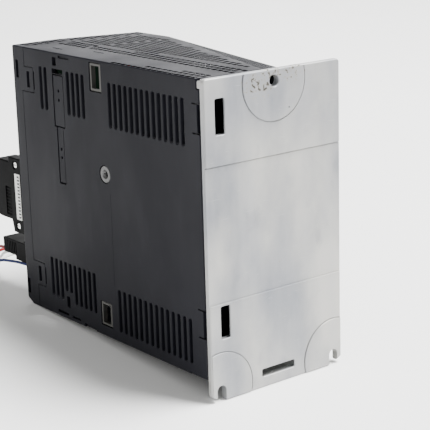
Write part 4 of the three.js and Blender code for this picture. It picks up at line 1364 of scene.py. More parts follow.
# ---- cast mounting plate
@dataclass
class Heatsink:
    """The cast mounting plate with its pads, sunk band, windows, lug and fins."""

    envelope: Envelope
    thick: float = 3.5
    rise: float = 0.4
    pad: float = 20.5
    edge: float = 6.0
    hole: float = 6.0
    slot: float = 6.0
    band: Pair = (52.5, 124.0)
    band_step: float = 0.55
    round_by: float = 0.9
    fin_reach: float = 40.0
    fin_thick: float = 2.0
    fin_pitch: float = 9.0
    fin_count: int = 9
    fin_z: Pair = (31.0, 150.0)
    base: float = 4.0
    undercut: float = 4.0
    clear_behind: float = 38.0
    clear_x: Pair = (19.0, 2.0)
    clear_z: tuple[Pair, ...] = ((137.0, 160.0), (29.0, 53.5))
    lug: Triple = (2.2, 3.8, 1.75)
    punch_marks: tuple[Pair, ...] = ((17.0, 149.2), (-9.6, 147.2))

    def outline(self, inset: float = 0.0) -> Outline:
        """Give the plate's outline with its feet and round corners."""
        half, high, low = self.envelope.half - inset, self.envelope.height - inset, inset
        foot = self.edge / 2
        top = [(half - 1.2, high), (-half + 1.2, high)]
        return [(half, high - 1.2), *top, (-half, high - 1.2), (-half, foot + 1), (-half + 1, foot + low),
                (-half + self.edge, low), (half - self.edge, low), (half - 1, foot + low), (half, foot + 1)]

    def build(self, workshop: Workshop) -> None:
        """Make the plate with its lug and its fins."""
        back = self.envelope.depth
        face = back - self.rise
        front = face - self.thick
        slab = prism(Y, self.outline(), front, face).bevelled(self.round_by, 4, 40)
        score = block((-60, 60), (face - self.band_step - 0.35, face), (self.band[1] - 0.55, self.band[1]))
        band = block((-60, 60), (face - self.band_step, face + 2), self.band)
        places = [(0.0, self.envelope.height - self.edge)]
        places += [(side * (self.envelope.half - self.edge), self.edge) for side in (-1, 1)]
        within = prism(Y, self.outline(0.5), front, back + 1)
        pads = [turned(Y, place, [(self.pad, face - 0.8), (self.pad, back - 0.25), (self.pad - 0.3, back)],
            64).within(within) for place in places]
        moats = [turned(Y, place, [(self.pad + 0.55, face - 0.5), (self.pad + 0.55, face + 0.1)],
            64) .within(within) for place in places]
        body = slab.cut(band, score, *moats).join(*pads, self._rail(face)).cut(*self._openings(front,
            places))
        body = body.join(self._fins(front).cut(*self._clearings(front)), self._lug(front))
        workshop.place("mounting_plate", body, CAST, replaces=["heatsink"], crease=26)

    def _rail(self, face: float) -> Solid:
        """Make the low cast ridge under the sunk band."""
        low, root, crest = self.band[0], face - 0.5, face + 0.12
        rail = [(root, low - 1.1), (crest, low - 0.9), (crest, low - 0.3), (root, low)]
        return prism(X, rail, -self.envelope.half + 1, self.envelope.half - 1)

    def _openings(self, front: float, places: list[Pair]) -> list[Solid]:
        """Give the cutters of the screw holes, windows and punch marks."""
        low, high = front - 1, self.envelope.depth + 1
        back = self.envelope.depth
        (hole_x, hole_z), *slots = places
        hole = turned(Y, (hole_x, hole_z), [(self.hole / 2, low), (self.hole / 2, back - 0.4),
            (self.hole / 2 + 0.4, back), (self.hole / 2 + 0.4, high)])
        cuts = [hole]
        for x, z in slots:
            outline = [(x + self.slot / 2 * math.cos(t), z + self.slot / 2 * math.sin(t))
                for t in (math.pi * i / 12 for i in range(13))]
            outline += [(x - self.slot / 2, -2), (x + self.slot / 2, -2)]
            cuts.append(prism(Y, outline, low, high))
        window = self.envelope.half - 9.8
        for x, z0, z1, wide in ((window, 139.4, 157.7, 6.0), (window - 0.3, 33.4, 51.0, 6.0),
                (0, 6.0, 10.2, 22.6)):
            inner = rounded((x, (z0 + z1) / 2), wide, z1 - z0, 0.9)
            mouth = rounded((x, (z0 + z1) / 2), wide + 0.6, z1 - z0 + 0.6, 1.2)
            hidden = rounded((x - self.undercut / 2, (z0 + z1) / 2), wide + self.undercut, z1 - z0, 0.9)
            lip = back - self.rise - 0.9
            cuts.append(loft(Y, [(low, hidden), (lip - 0.1, hidden), (lip, inner),
                (back - self.rise - 0.3, inner), (back - self.rise, mouth), (high, mouth)]))
        dimples = [turned(Y, mark, [(0.25, back - 0.6), (0.65, back + 0.2)], 10)
            for mark in self.punch_marks]
        return [*cuts, *dimples]

    def _fins(self, front: float) -> Solid:
        """Make the row of tapered fins and the base across them."""
        low, high = self.fin_z
        wide = (self.fin_count - 1) * self.fin_pitch
        thin, thick = self.fin_thick / 2 - 0.25, self.fin_thick / 2
        taper = [(front - self.fin_reach, rectangle((-thin, thin), (low, high))),
            (front + 0.5, rectangle((-thick, thick), (low, high)))]
        fins = row(loft(Y, taper), CAST, count=self.fin_count, first=(-wide / 2, 0, 0),
            step=(self.fin_pitch, 0, 0))
        near = front - self.fin_reach
        base = block((-wide / 2 - thick, wide / 2 + thick), (near - self.base, near + 0.5), (low, high))
        return base.join(fins)

    def _clearings(self, front: float) -> list[Solid]:
        """Give the cutters that clear the outer fins behind the plate's two tall windows."""
        x = [self.envelope.half - inset for inset in self.clear_x]
        return [block(x, (front - self.clear_behind, front + 1), z) for z in self.clear_z]

    def _lug(self, front: float) -> Solid:
        """Make the small lug at the plate's upper right corner."""
        half, high = self.envelope.half, self.envelope.height
        across, tall, below = self.lug
        outline = rounded((half - 1.3, high - 3.0), across, tall, 0.5)
        return prism(Y, outline, front - below, front + 1)


@dataclass
class MetalFrames:
    """The folded sheet inside the right wall, whose two frames stand in the side windows."""

    envelope: Envelope
    inner: float
    sheet: float = 1.0
    centre_y: float = FRAME_Y
    wide: float = FRAME_WIDE
    frames: tuple[Pair, ...] = FRAMES
    screw: Pair = SIDE_SCREW

    def build(self, workshop: Workshop) -> None:
        """Make the sheet with its frames."""
        face = self.inner - CLEARANCE
        low, high = self.envelope.floor + 2.5, self.envelope.height - 2.5
        sheet = block((face - self.sheet, face), (76, 95), (low, high))
        rims, holes = [], []
        for z, tall in self.frames:
            outer = rounded((self.centre_y, z), self.wide, tall, 0.5)
            tipped = rounded((self.centre_y, z), self.wide - 0.5, tall - 0.5, 0.4)
            rims.append(loft(X, [(face - 0.5, outer), (self.envelope.half - 0.55, outer),
                (self.envelope.half - 0.3, tipped)]))
            mouth = rounded((self.centre_y - 0.1, z), self.wide - 3.0, tall - 2.8, 0.3)
            inner = rounded((self.centre_y - 0.1, z), self.wide - 1.6, tall - 1.6, 0.3)
            lip = self.envelope.half - 0.95
            holes.append(loft(X, [(face - 3, inner), (lip - 0.1, inner), (lip, mouth),
                (self.envelope.half + 1, mouth)]))
        screw = prism(X, disc(self.screw, 2.1), face - 3, face + 1)
        workshop.place("chassis_frames", sheet.join(*rims).cut(*holes, screw), SHEET,
            replaces=["chassis_sheet"])


@dataclass
class SideScrew:
    """The broad flat screw in the right wall, with a round well and a cross recess."""

    inner: float
    centre: Pair = SIDE_SCREW
    across: float = 9.6
    thick: float = 2.0

    def build(self, workshop: Workshop) -> None:
        """Make the screw's head and its shank."""
        y, z = self.centre
        low = self.inner
        top = low + self.thick
        r = self.across / 2
        profile = [(1.8, low - 5.5), (1.8, low), (r, low + 0.01), (r, top - 0.35), (r - 0.35, top)]
        head = turned(X, self.centre, profile, 48)
        well = turned(X, self.centre, [(1.45, top - 4.6), (1.45, top - 1.3), (2.2, top - 0.5),
            (2.7, top + 0.1)], 32)
        cross = [block((top - 1.75, top + 1), (y - a, y + a), (z - b, z + b)) for a,
            b in ((2.1, 0.4), (0.4, 2.1))]
        workshop.place("side_screw_head", head.cut(well, *cross), DULL, replaces=["side_screw"])


# ---- sockets
@dataclass
class SocketBank:
    """The sockets behind the cover's openings, with their cells, keys and contacts."""

    wall: float = 1.6
    deep: float = 22.7
    back: float = 25.7
    rib: float = 0.9
    tip: float = 6.0

    def build(self, workshop: Workshop) -> None:
        """Make every socket and its contacts."""
        for spec in SOCKETS:
            workshop.place(f"{spec.name}_housing", self._housing(spec), spec.finish,
                replaces=[f"{spec.name}_socket"])
            if spec.contact is not Contact.NONE:
                workshop.place(f"{spec.name}_contacts", self._contacts(spec), NICKEL)

    def _housing(self, spec: SocketSpec) -> Solid:
        """Make the moulding with its mouth, its dividers and its keying ridges."""
        lip = 0.4
        wide, tall = spec.wide - 2 * self.wall, spec.tall - 2 * self.wall
        outer = prism(Y, rounded((spec.x, spec.z), spec.wide, spec.tall, 0.5), 0.02, self.back)
        inner = rounded((spec.x, spec.z), wide, tall, 0.4)
        open_mouth = rounded((spec.x, spec.z), wide + 2 * lip, tall + 2 * lip, 0.4 + lip)
        mouth = loft(Y, [(-1, open_mouth), (0, open_mouth), (lip, inner), (self.deep, inner)])
        body = outer.cut(mouth)
        if spec.contact is Contact.BLADE:
            pitch = tall / spec.ways
            first = spec.z - tall / 2 + pitch
            side = wide / 2 + 0.3
            divider = block((-side, side), (1.4, self.deep + 0.3), (-self.rib / 2, self.rib / 2))
            dividers = row(divider, spec.finish, count=spec.ways - 1, first=(spec.x, 0, first),
                step=(0, 0, pitch))
            key = block((side - 1.0, side), (0.9, self.deep + 0.3), (-1.0, 1.0))
            keys = row(key, spec.finish, count=spec.ways, first=(spec.x, 0, first - pitch / 2),
                step=(0, 0, pitch))
            body = body.join(dividers, keys)
        if spec.contact is Contact.TONGUE:
            body = body.join(block((spec.x - 1.1, spec.x + 1.1), (1.2, self.deep + 0.3),
                (spec.z - 14.5, spec.z + 14.5)))
        return body

    def _contacts(self, spec: SocketSpec) -> Solid:
        """Repeat the socket's contact in rows."""
        end = self.deep + 0.4
        tall = spec.tall - 2 * self.wall
        if spec.contact is Contact.BLADE:
            pitch = tall / spec.ways
            blade = loft(Y, [(self.tip, rounded((0, 0), 0.6, 1.8, 0.15)),
                (self.tip + 0.8, rounded((0, 0), 1.2, 2.4, 0.2)), (end, rounded((0, 0), 1.2, 2.4, 0.2))])
            return row(blade, NICKEL, count=spec.ways, first=(spec.x, 0, spec.z - tall / 2 + pitch / 2),
                step=(0, 0, pitch))
        if spec.contact is Contact.PIN:
            rows = spec.ways // 2
            pin = turned(Y, (0, 0), [(0.2, self.tip), (0.45, self.tip + 0.5), (0.45, end)], 12)
            return together([row(pin, NICKEL, count=rows, step=(0, 0, 3.4),
                first=(spec.x + side * 1.7, 0, spec.z - 1.7 * (rows - 1))) for side in (-1, 1)])
        if spec.contact is Contact.SPRING:
            spring = loft(Y, [(7.0, rectangle((-0.2, 0.2), (-6.4, -6.0))),
                (8.0, rectangle((-0.2, 0.2), (-4.6, -4.2))), (end, rectangle((-0.2, 0.2), (-8.6, -8.2)))])
            return row(spring, NICKEL, count=spec.ways, step=(1.02, 0, 0),
                first=(spec.x - 0.51 * (spec.ways - 1), 0, spec.z))
        strip = block((-0.12, 0.12), (2.0, end), (-0.3, 0.3))
        return together([row(strip, NICKEL, count=spec.ways // 2, step=(0, 0, 1.3),
            first=(spec.x + side * 1.16, 0, spec.z - 0.65 * (spec.ways // 2 - 1))) for side in (-1, 1)])


@dataclass
class SetupPort:
    """The small metal socket for a computer's lead."""

    centre: Pair = (34.0, 112.0)
    wide: float = 9.0
    tall: float = 12.0
    wall: float = 0.8
    deep: float = 12.0
    back: float = 25.7

    def build(self, workshop: Workshop) -> None:
        """Make the metal shell and the tongue."""
        x, z = self.centre
        outer = prism(Y, rounded(self.centre, self.wide, self.tall, 1.3, 5), 0.02, self.back)
        inner = rounded(self.centre, self.wide - 2 * self.wall, self.tall - 2 * self.wall, 0.6, 5)
        flared = rounded(self.centre, self.wide - self.wall, self.tall - self.wall, 1.0, 5)
        mouth = loft(Y, [(-1, flared), (0, flared), (0.6, inner), (self.deep, inner)])
        springs = [block((x - 1.0, x + 1.0), (2.5, 7.5), (z + side - 0.9, z + side + 0.9))
            for side in (-self.tall / 2, self.tall / 2)]
        workshop.place("setup_port_shell", outer.cut(mouth, *springs), NICKEL, replaces=["usb_port"])
        tongue = prism(Y, rounded(self.centre, 1.9, 6.8, 0.3), 3, self.deep + 0.2)
        workshop.place("setup_port_tongue", tongue, BLACK)


# ---- display, keys and door
@dataclass
class DisplayBay:
    """The window with its unlit digits, the keys, the board under them and the hinged door."""

    height: float
    down: float = 20.5
    window: Triple = (-7.0, 25.0, 13.0)
    window_front: float = 7.0
    board_front: float = 10.6
    board_thick: float = 1.6
    board_size: Pair = (45.0, 22.0)
    digits: int = 5
    digit_pitch: float = 4.4
    key_first: float = 9.5
    key_pitch: float = 4.9
    door_wide: float = 47.0
    door_low: float = 134.75
    axle: Pair = DOOR_AXLE

    @property
    def level(self) -> float:
        """The height of the window's middle."""
        return self.height - self.down

    def build(self, workshop: Workshop) -> None:
        """Make the window, the board, the three keys and the door."""
        x, wide, tall = self.window
        glass = prism(Y, rounded((x, self.level), wide, tall, 0.8), self.window_front,
            self.board_front - CLEARANCE).bevelled(0.25, 2)
        workshop.place("display_window", glass, SMOKED, replaces=["display_module"])
        digits = row(self._digit(), UNLIT, count=self.digits,
            first=(x - self.digit_pitch * (self.digits - 1) / 2, 0, self.level),
            step=(self.digit_pitch, 0, 0))
        workshop.place("display_segments", digits, UNLIT)
        board = prism(Y, rounded((0, self.level), *self.board_size, 1.0), self.board_front,
            self.board_front + self.board_thick)
        holes = [prism(Y, disc((side * 20.3, self.level - 9.0), 1.1, 20), 9, 14) for side in (-1, 1)]
        workshop.place("display_circuit", board.cut(*holes), BOARD, replaces=["display_board"])
        switch = block((-1.6, 1.6), (self.board_front - 0.28, self.board_front + 0.1), (-1.6, 1.6))
        switches = row(switch, BLACK, count=3, step=(self.key_pitch, 0, 0),
            first=(self.key_first, 0, self.level))
        workshop.place("key_switches", switches, BLACK)
        for i, body in enumerate((Body.MODE, Body.UP, Body.SET)):
            self._key(workshop, body, self.key_first + i * self.key_pitch)
        self._door(workshop)

    def _digit(self) -> Solid:
        """Make the seven bars of one digit."""
        front = self.window_front - 0.06
        bar = [(-1.0, 0.0), (-0.75, 0.26), (0.75, 0.26), (1.0, 0.0), (0.75, -0.26), (-0.75, -0.26)]
        flat = [[(a, b + level) for a, b in bar] for level in (-2.4, 0.0, 2.4)]
        upright = [[(b + side, a + level) for a, b in bar] for side in (-1.2, 1.2) for level in (-1.2, 1.2)]
        return together([prism(Y, outline, front, front + 0.2) for outline in flat + upright])

    def _key(self, workshop: Workshop, body: Body, x: float) -> None:
        """Make one key: a dished stem on a square flange."""
        centre = (x, self.level)
        stem = turned(Y, centre, [(0.9, 4.5), (1.5, 4.3), (1.75, 4.2), (1.95, 4.35), (2.0, 4.6),
            (2.0, 9.0)], 28)
        flange = prism(Y, rounded(centre, 4.2, 5.6, 0.4), 8.5, 9.5)
        workshop.place(f"{body.value}_cap", stem.join(flange), GREY, body=body, replaces=[body.value])

    def _door(self, workshop: Workshop) -> None:
        """Make the smoked door with its rim, its hinge barrel and its ribbed nail grip."""
        half, top, low = self.door_wide / 2, self.axle[1], self.door_low
        centre = (0.0, (top + low) / 2)
        leaf = prism(Y, rounded(centre, self.door_wide, top - low, 1.4), 0.5, 2.1).bevelled(0.3, 2)
        pane = prism(Y, rounded((0, centre[1] - 0.6), self.door_wide - 5, top - low - 7, 1.0), -1, 0.85)
        barrel = turned(X, self.axle, [(0.5, -half - 1.6), (0.7, -half - 1.4), (0.7, -half), (1.1, -half),
            (1.2, 0.2 - half), (1.2, half - 0.2), (1.1, half), (0.7, half), (0.7, half + 1.4),
            (0.5, half + 1.6)], 24)
        grip = prism(Y, rounded((0, low + 0.85), 10, 1.5, 0.5), -0.15, 1.2)
        rib = block((-0.3, 0.3), (-0.4, 0.4), (low + 0.2, low + 1.5))
        ribs = row(rib, SMOKED, count=9, first=(-4.4, 0, 0), step=(1.1, 0, 0))
        workshop.place("smoked_door", leaf.cut(pane).join(barrel, grip, ribs), SMOKED, body=Body.DOOR,
            replaces=["display_door"])


@dataclass
class ChargeLamp:
    """The red lens that glows while the capacitors hold charge."""

    x: float
    z: float
    seat: float = 2.8

    def build(self, workshop: Workshop) -> None:
        """Make the domed lens on its flange."""
        profile = [(0.5, -0.4), (1.2, -0.28), (1.7, 0.1), (2.0, 0.8), (2.0, self.seat), (2.8, self.seat),
            (3.0, self.seat + 0.2), (3.0, self.seat + 1.5)]
        workshop.place("charge_lens", turned(Y, (self.x, self.z), profile, 36), LENS,
            replaces=["charge_lamp"])


# ---- boards and power parts
@dataclass
class CircuitStack:
    """The control board, the power board, the pillars between them and what is soldered on."""

    inner: float
    low: float = 21.8
    control_front: float = 26.0
    control_high: float = 133.5
    power_front: float = 112.0
    power_high: float = 139.5
    thick: float = 1.6
    margin: float = 4.0

    @property
    def half(self) -> float:
        """Half of the boards' width."""
        return self.inner - self.margin

    def build(self, workshop: Workshop) -> None:
        """Make both boards, their components and the pillars."""
        self._board(workshop, "control_circuit", "control_board", self.control_front, self.control_high)
        self._board(workshop, "power_circuit", "power_board", self.power_front, self.power_high)
        self._control_parts(workshop)
        self._power_parts(workshop)
        self._pillars(workshop)

    def _board(self, workshop: Workshop, name: str, node: str, front: float, high: float) -> None:
        """Make a board with round corners and plated holes."""
        middle = (self.low + high) / 2
        outline = rounded((0, middle), 2 * self.half, high - self.low, 2.0)
        board = prism(Y, outline, front, front + self.thick)
        drill = prism(Y, disc((0, 0), 0.6, 8), front - 1, front + self.thick + 1)
        vias = row(drill, BOARD, count=12, first=(-self.half + 6, 0, self.low + 2.5), step=(6, 0, 0))
        workshop.place(name, board.cut(vias), BOARD, replaces=[node])

    def _control_parts(self, workshop: Workshop) -> None:
        """Strew chips and small parts over the control board's back, and stand headers on it."""
        face = self.control_front + self.thick
        scatter = ScatterPattern()
        chip = block((-2.6, 2.6), (-0.2, 1.1), (-2.4, 2.4)).bevelled(0.15, 1)
        chips = scatter.made(chip, BLACK.material(), wide=62.0, tall=66.0, pitch=9.4, share=0.62, seed=7)
        workshop.place("control_chips", chips.moved(Matrix.Translation((0, face, 68))), BLACK)
        chip_part = block((-0.9, 0.9), (-0.1, 0.4), (-0.5, 0.5))
        small = scatter.made(chip_part, SHEET.material(), wide=66.0, tall=17.0, pitch=3.2, share=0.55,
            seed=3)
        workshop.place("control_small_parts", small.moved(Matrix.Translation((0, face, 113))), SHEET)
        can = turned(Y, (0, 0), [(2.9, face - 0.1), (3.2, face + 0.3), (3.2, face + 8.4), (2.7, face + 9)],
            20)
        cans = row(can, SLEEVE, count=5, first=(-22, 0, 29), step=(8.5, 0, 0))
        workshop.place("control_capacitors", cans, SLEEVE)
        header = block((-17, 17), (face - 0.1, face + 7.5), (125.3, 130.0)).bevelled(0.3, 1)
        workshop.place("board_header", header, BLACK)
        pin = block((-0.3, 0.3), (face + 7, face + 12.5), (-0.3, 0.3))
        pins = [row(pin, NICKEL, count=13, first=(-15.2, 0, z), step=(2.54, 0, 0))
                for z in (126.4, 128.9)]
        workshop.place("board_header_pins", together(pins), NICKEL)

    def _power_parts(self, workshop: Workshop) -> None:
        """Stand relays and film capacitors on the power board's back, above the module."""
        face = self.power_front + self.thick
        relay = block((-6.5, 6.5), (face - 0.1, face + 12), (116, 134)).bevelled(0.5, 2)
        relays = row(relay, BLACK, count=2, first=(-26, 0, 0), step=(15.5, 0, 0))
        workshop.place("power_relays", relays, BLACK)
        film = block((-2.6, 2.6), (face - 0.1, face + 10), (117, 133)).bevelled(0.4, 2)
        films = row(film, GREY, count=4, first=(8, 0, 0), step=(7.4, 0, 0))
        workshop.place("film_capacitors", films, GREY)

    def _pillars(self, workshop: Workshop) -> None:
        """Make the four hexagonal pillars with chamfered ends."""
        near, far = self.control_front + self.thick + CLEARANCE, self.power_front - CLEARANCE
        side, inset = self.half - 4, 5.0
        places = [(x, z) for z in (self.low + inset, self.control_high - inset) for x in (-side, side)]
        for number, place in enumerate(places, 1):
            profile = [(2.5, near), (3.0, near + 0.5), (3.0, far - 0.5), (2.5, far)]
            pillar = turned(Y, place, profile, 6)
            groove = turned(Y, place, [(3.4, near + 6), (3.4, near + 7)], 24)
            core = turned(Y, place, [(2.3, near + 5.9), (2.3, near + 7.1)], 24)
            workshop.place(f"hex_pillar_{number}", pillar.cut(groove.cut(core)), NICKEL,
                replaces=[f"board_pillar_{number}"])


@dataclass
class PowerParts:
    """The power module on the heatsink, the storage capacitors and the braking resistor."""

    module: tuple[float, float, float, float] = (30.0, 50.0, 112.0, 131.8)
    module_front: float = 113.9
    can: float = 15.0
    can_x: float = 18.0
    can_z: float = 87.3
    can_y: Pair = (53.7, 111.7)
    resistor: Triple = (28.0, 40.0, 58.0)
    resistor_y: Pair = (90.0, 111.7)

    def build(self, workshop: Workshop) -> None:
        """Make the module, both capacitors and the resistor."""
        self._module(workshop)
        for name, side in (("left", -1), ("right", 1)):
            self._capacitor(workshop, name, side)
        self._resistor(workshop)

    def _module(self, workshop: Workshop) -> None:
        """Make the module with its fastening notches and stepped lid."""
        half, low, high, back = self.module
        middle = (0.0, (low + high) / 2)
        body = prism(Y, rounded(middle, 2 * half, high - low, 2), self.module_front + 4, back)
        lid = prism(Y, rounded(middle, 2 * half - 8, high - low - 5, 3), self.module_front, back - 1)
        notches = [prism(Y, disc((side * half, middle[1]), 3.2, 24), 100, 140) for side in (-1, 1)]
        workshop.place("power_module_case", body.join(lid).cut(*notches).bevelled(0.3, 2), BLACK,
            replaces=["power_module"])

    def _capacitor(self, workshop: Workshop, name: str, side: int) -> None:
        """Make one can with its crimp, and its scored metal end."""
        front, back = self.can_y
        centre = (side * self.can_x, self.can_z)
        r = self.can
        profile = [(r - 1.8, front + 0.9), (r - 1.4, front), (r - 0.4, front + 0.2), (r, front + 1.2),
            (r, front + 3.4), (r - 0.8, front + 4.2), (r - 0.8, front + 4.8), (r, front + 5.6),
            (r, back - 0.5), (r - 0.5, back)]
        workshop.place(f"storage_capacitor_{name}", turned(Y, centre, profile, 48), SLEEVE,
            replaces=[f"capacitor_{name}"])
        end = turned(Y, centre, [(r - 1.9, front + 0.5), (r - 1.9, front + 1.0)], 48)
        x, z = centre
        scores = [block((x - a, x + a), (front, front + 0.7), (z - b, z + b)) for a,
            b in ((9.0, 0.25), (0.25, 9.0))]
        workshop.place(f"capacitor_end_{name}", end.cut(*scores), SHEET)

    def _resistor(self, workshop: Workshop) -> None:
        """Make the ribbed resistor body."""
        half, low, high = self.resistor
        front, back = self.resistor_y
        body = block((-half, half), (front + 4, back), (low, high)).bevelled(0.5, 2)
        rib = block((-0.7, 0.7), (front, front + 4.5), (low + 0.8, high - 0.8))
        ribs = row(rib, GREY, count=13, first=(-25.2, 0, 0), step=(4.2, 0, 0))
        workshop.place("resistor_body", body.join(ribs), GREY, replaces=["braking_resistor"])


@dataclass
class CoolingFan:
    """The fan under the fins: a square frame with struts, and a rotor with twisted blades."""

    floor: float
    y: float = FAN_Y
    size: float = 40.0
    thick: float = 15.0
    bore: float = 18.2
    hub: float = 9.0
    tip: float = 17.3
    blades: int = 7
    chord: float = 8.6

    def build(self, workshop: Workshop) -> None:
        """Make the frame and the rotor."""
        low = self.floor
        high = low + self.thick
        body = prism(Z, rounded((0, self.y), self.size, self.size, 3.0, 5), low, high)
        bore = prism(Z, disc((0, self.y), self.bore, 48), low - 1, high + 1)
        reach = self.size / 2 - 4
        drills = [prism(Z, disc((a * reach, self.y + b * reach), 1.8, 16), low - 1, high + 1)
            for a in (-1, 1) for b in (-1, 1)]
        waist = [block(x, y, (low + 3.2, high - 3.2)) for x, y in (
            ((-11, 11), (self.y - 21, self.y - 18.9)), ((-11, 11), (self.y + 18.9, self.y + 21)),
            ((-21, -18.9), (self.y - 11, self.y + 11)), ((18.9, 21), (self.y - 11, self.y + 11)))]
        strut = block((7, self.bore + 0.5), (-1.1, 1.1), (low, low + 1.6))
        struts = RingPattern().made(strut, BLACK.material(),
            count=4).moved(Matrix.Translation((0, self.y, 0)))
        motor = prism(Z, disc((0, self.y), 8.0, 36), low, low + 2.4)
        workshop.place("fan_housing", body.cut(bore, *drills, *waist).join(motor, struts), BLACK,
            replaces=["fan_frame"])
        self._rotor(workshop, low + 2.7, high - 0.6)

    def _rotor(self, workshop: Workshop, low: float, high: float) -> None:
        """Make the hub and its ring of blades."""
        hub = turned(Z, (0, 0), [(8.2, low), (self.hub, low + 0.5), (self.hub, high - 0.8),
            (self.hub - 0.8, high)], 40)
        middle = low + 5.0
        rings = []
        for step in range(5):
            share = step / 4
            angle = math.radians(38 - 9 * share)
            outline = []
            for along, thick in ((-0.5, 0.15), (-0.25, 0.55), (0.1, 0.65), (0.5, 0.2), (0.1, -0.35),
                    (-0.25, -0.4)):
                a, b = along * self.chord, thick
                outline.append((b * math.cos(angle) - a * math.sin(angle),
                    middle + a * math.cos(angle) + b * math.sin(angle)))
            rings.append((self.hub - 0.6 + (self.tip - self.hub + 0.6) * share, outline))
        blades = RingPattern().made(loft(X, rings), BLACK.material(), count=self.blades)
        rotor = hub.join(blades).moved(Matrix.Translation((0, self.y, 0)))
        workshop.place("fan_wheel", rotor, BLACK, body=Body.FAN, replaces=["fan_rotor"])


# ---- plugs
@dataclass
class IoPlug:
    """The broad plug on the front: two shells, two screws, a label and a metal insert."""

    x: float = 33.0
    z: float = 74.0
    thick: float = 14.0
    tall: float = 47.0
    start: float = -1.2
    out: float = -43.0
    shoulder: float = 5.0
    step_back: float = 20.8
    step_upper: float = 3.0
    step_lower: float = 7.5
    nose: float = 6.0
    screw_back: float = 13.6
    screw_inset: float = 4.4

    @property
    def low(self) -> float:
        """The plug's underside."""
        return self.z - self.tall / 2

    @property
    def high(self) -> float:
        """The plug's top."""
        return self.z + self.tall / 2

    @property
    def screws(self) -> Pair:
        """The heights of the two screws."""
        return self.low + self.screw_inset, self.high - self.screw_inset

    def build(self, workshop: Workshop) -> None:
        """Make the plug's pieces, which all slide out together."""
        self._shells(workshop)
        self._screws(workshop)
        self._label(workshop)
        self._insert(workshop)

    def _side(self) -> Outline:
        """Give the shells' outline seen from the side, with a step down and rounded shoulders."""
        bend, step, steps = self.out + 2 * self.shoulder, self.start - self.step_back, 6
        top, foot = self.high - self.step_upper, self.low + self.step_lower
        turns = [math.pi / 2 * i / steps for i in range(steps + 1)]
        fall = [(bend - 2 * self.shoulder * math.sin(t), self.shoulder * (1 - math.cos(t))) for t in turns]
        front = [(self.start - 1, self.low), (self.start, self.low + 1), (self.start, self.high - 1),
            (self.start - 1, self.high)]
        return [*front, (step, self.high), (step, top), *((y, top - drop) for y, drop in fall),
                *((y, foot + drop) for y, drop in reversed(fall)), (step, foot), (step + 2, self.low)]

    def _shells(self, workshop: Workshop) -> None:
        """Make the right shell with its label pocket and grip, and the left shell."""
        near, far = self.x + self.thick / 2, self.x - self.thick / 2
        step, inside = self.start - self.step_back, (far + 1.6, near - 1.6)
        hollow = block(inside, (step + 3, self.start - 6), (self.low + 3, self.high - 3)).join(block(inside,
            (self.out + 10, step + 4), (self.low + self.step_lower + 1.6,
            self.high - self.step_upper - 1.6)))
        outlet = turned(Y, (self.x, self.z), [(5.2, self.out - 1), (5.2, self.out), (4.2, self.out + 1),
            (4.2, self.out + 12)], 32)
        nose = block((self.x - 3.6, self.x + 3.6), (self.start - 8, self.start + 1),
            (self.low + 4.2, self.high - 4.2))
        wells = [prism(X, disc((self.start - self.screw_back, z), 2.05, 28), far - 1, near + 1)
            for z in self.screws]
        sinks = [turned(X, (self.start - self.screw_back, z),
            [(2.05, near - 0.6), (2.9, near + 0.2), (2.9, near + 1)], 28) for z in self.screws]
        pocket = block((near - 0.7, near + 1), (self.start - 15, self.start - 8.4),
            (self.low + 8.4, self.high - 9.4))
        grip = prism(X, rounded((self.start - 22.75, self.z - 4.5), 6.5, 18, 0.6), near - 0.8, near + 1)
        rib = block((near - 0.9, near - 0.25), (self.start - 25.4, self.start - 20.1), (-0.35, 0.35))
        ribs = row(rib, BLACK, count=8, first=(0, 0, self.z - 11.9), step=(0, 0, 2.1))
        channel = block((near - 0.35, near + 1), (self.start - 4.2, self.start - 3.6),
            (self.low - 1, self.high + 1))
        shells = []
        for x0, x1 in ((self.x + 0.15, near), (far, self.x - 0.15)):
            shells.append(prism(X, self._side(), x0, x1).bevelled(0.8, 3, 24).cut(hollow, outlet, nose,
                *wells))
        right = shells[0].cut(*sinks, pocket, grip, channel).join(ribs)
        workshop.place("plug_shell_right", right, GLOSS_BLACK, body=Body.PLUG,
            replaces=["io_plug_shell_right"])
        workshop.place("plug_shell_left", shells[1], GLOSS_BLACK, body=Body.PLUG,
            replaces=["io_plug_shell_left"])

    def _screws(self, workshop: Workshop) -> None:
        """Make the two slotted screws that hold the shells together."""
        near, far = self.x + self.thick / 2, self.x - self.thick / 2
        for number, z in enumerate(self.screws, 1):
            centre = (self.start - self.screw_back, z)
            profile = [(1.3, far + 1), (1.3, near - 2.4), (1.7, near - 2.2), (1.7, near - 0.62),
                (1.5, near - 0.5)]
            body = turned(X, centre, profile, 32)
            slot = block((near - 1.1, near + 1), (centre[0] - 2.2, centre[0] + 2.2), (z - 0.32, z + 0.32))
            workshop.place(f"plug_screw_{number}", body.cut(slot), BRIGHT, body=Body.PLUG,
                replaces=[f"io_plug_screw_{number}"])

    def _label(self, workshop: Workshop) -> None:
        """Make the paper label and rows of plain bars on it."""
        near = self.x + self.thick / 2
        middle = (self.start - 11.7, (self.low + 8.7 + self.high - 9.7) / 2)
        tall = self.high - self.low - 18.4
        paper = prism(X, rounded(middle, 6.0, tall, 0.4), near - 0.4, near - 0.12)
        workshop.place("plug_label", paper, PAPER, body=Body.PLUG, replaces=["io_plug_label"])
        bars = []
        for along, wide, thick, step, count in ((0.9, 2.3, 1.15, 2.1, 13), (2.35, 0.5, 0.8, 1.4, 18)):
            bar = block((near - 0.16, near - 0.1), (middle[0] + along - wide / 2,
                middle[0] + along + wide / 2), (-thick / 2, thick / 2))
            bars.append(row(bar, INK, count=count, step=(0, 0, step),
                first=(0, 0, middle[1] - step * (count - 1) / 2)))
        workshop.place("plug_label_bars", together(bars), INK, body=Body.PLUG)

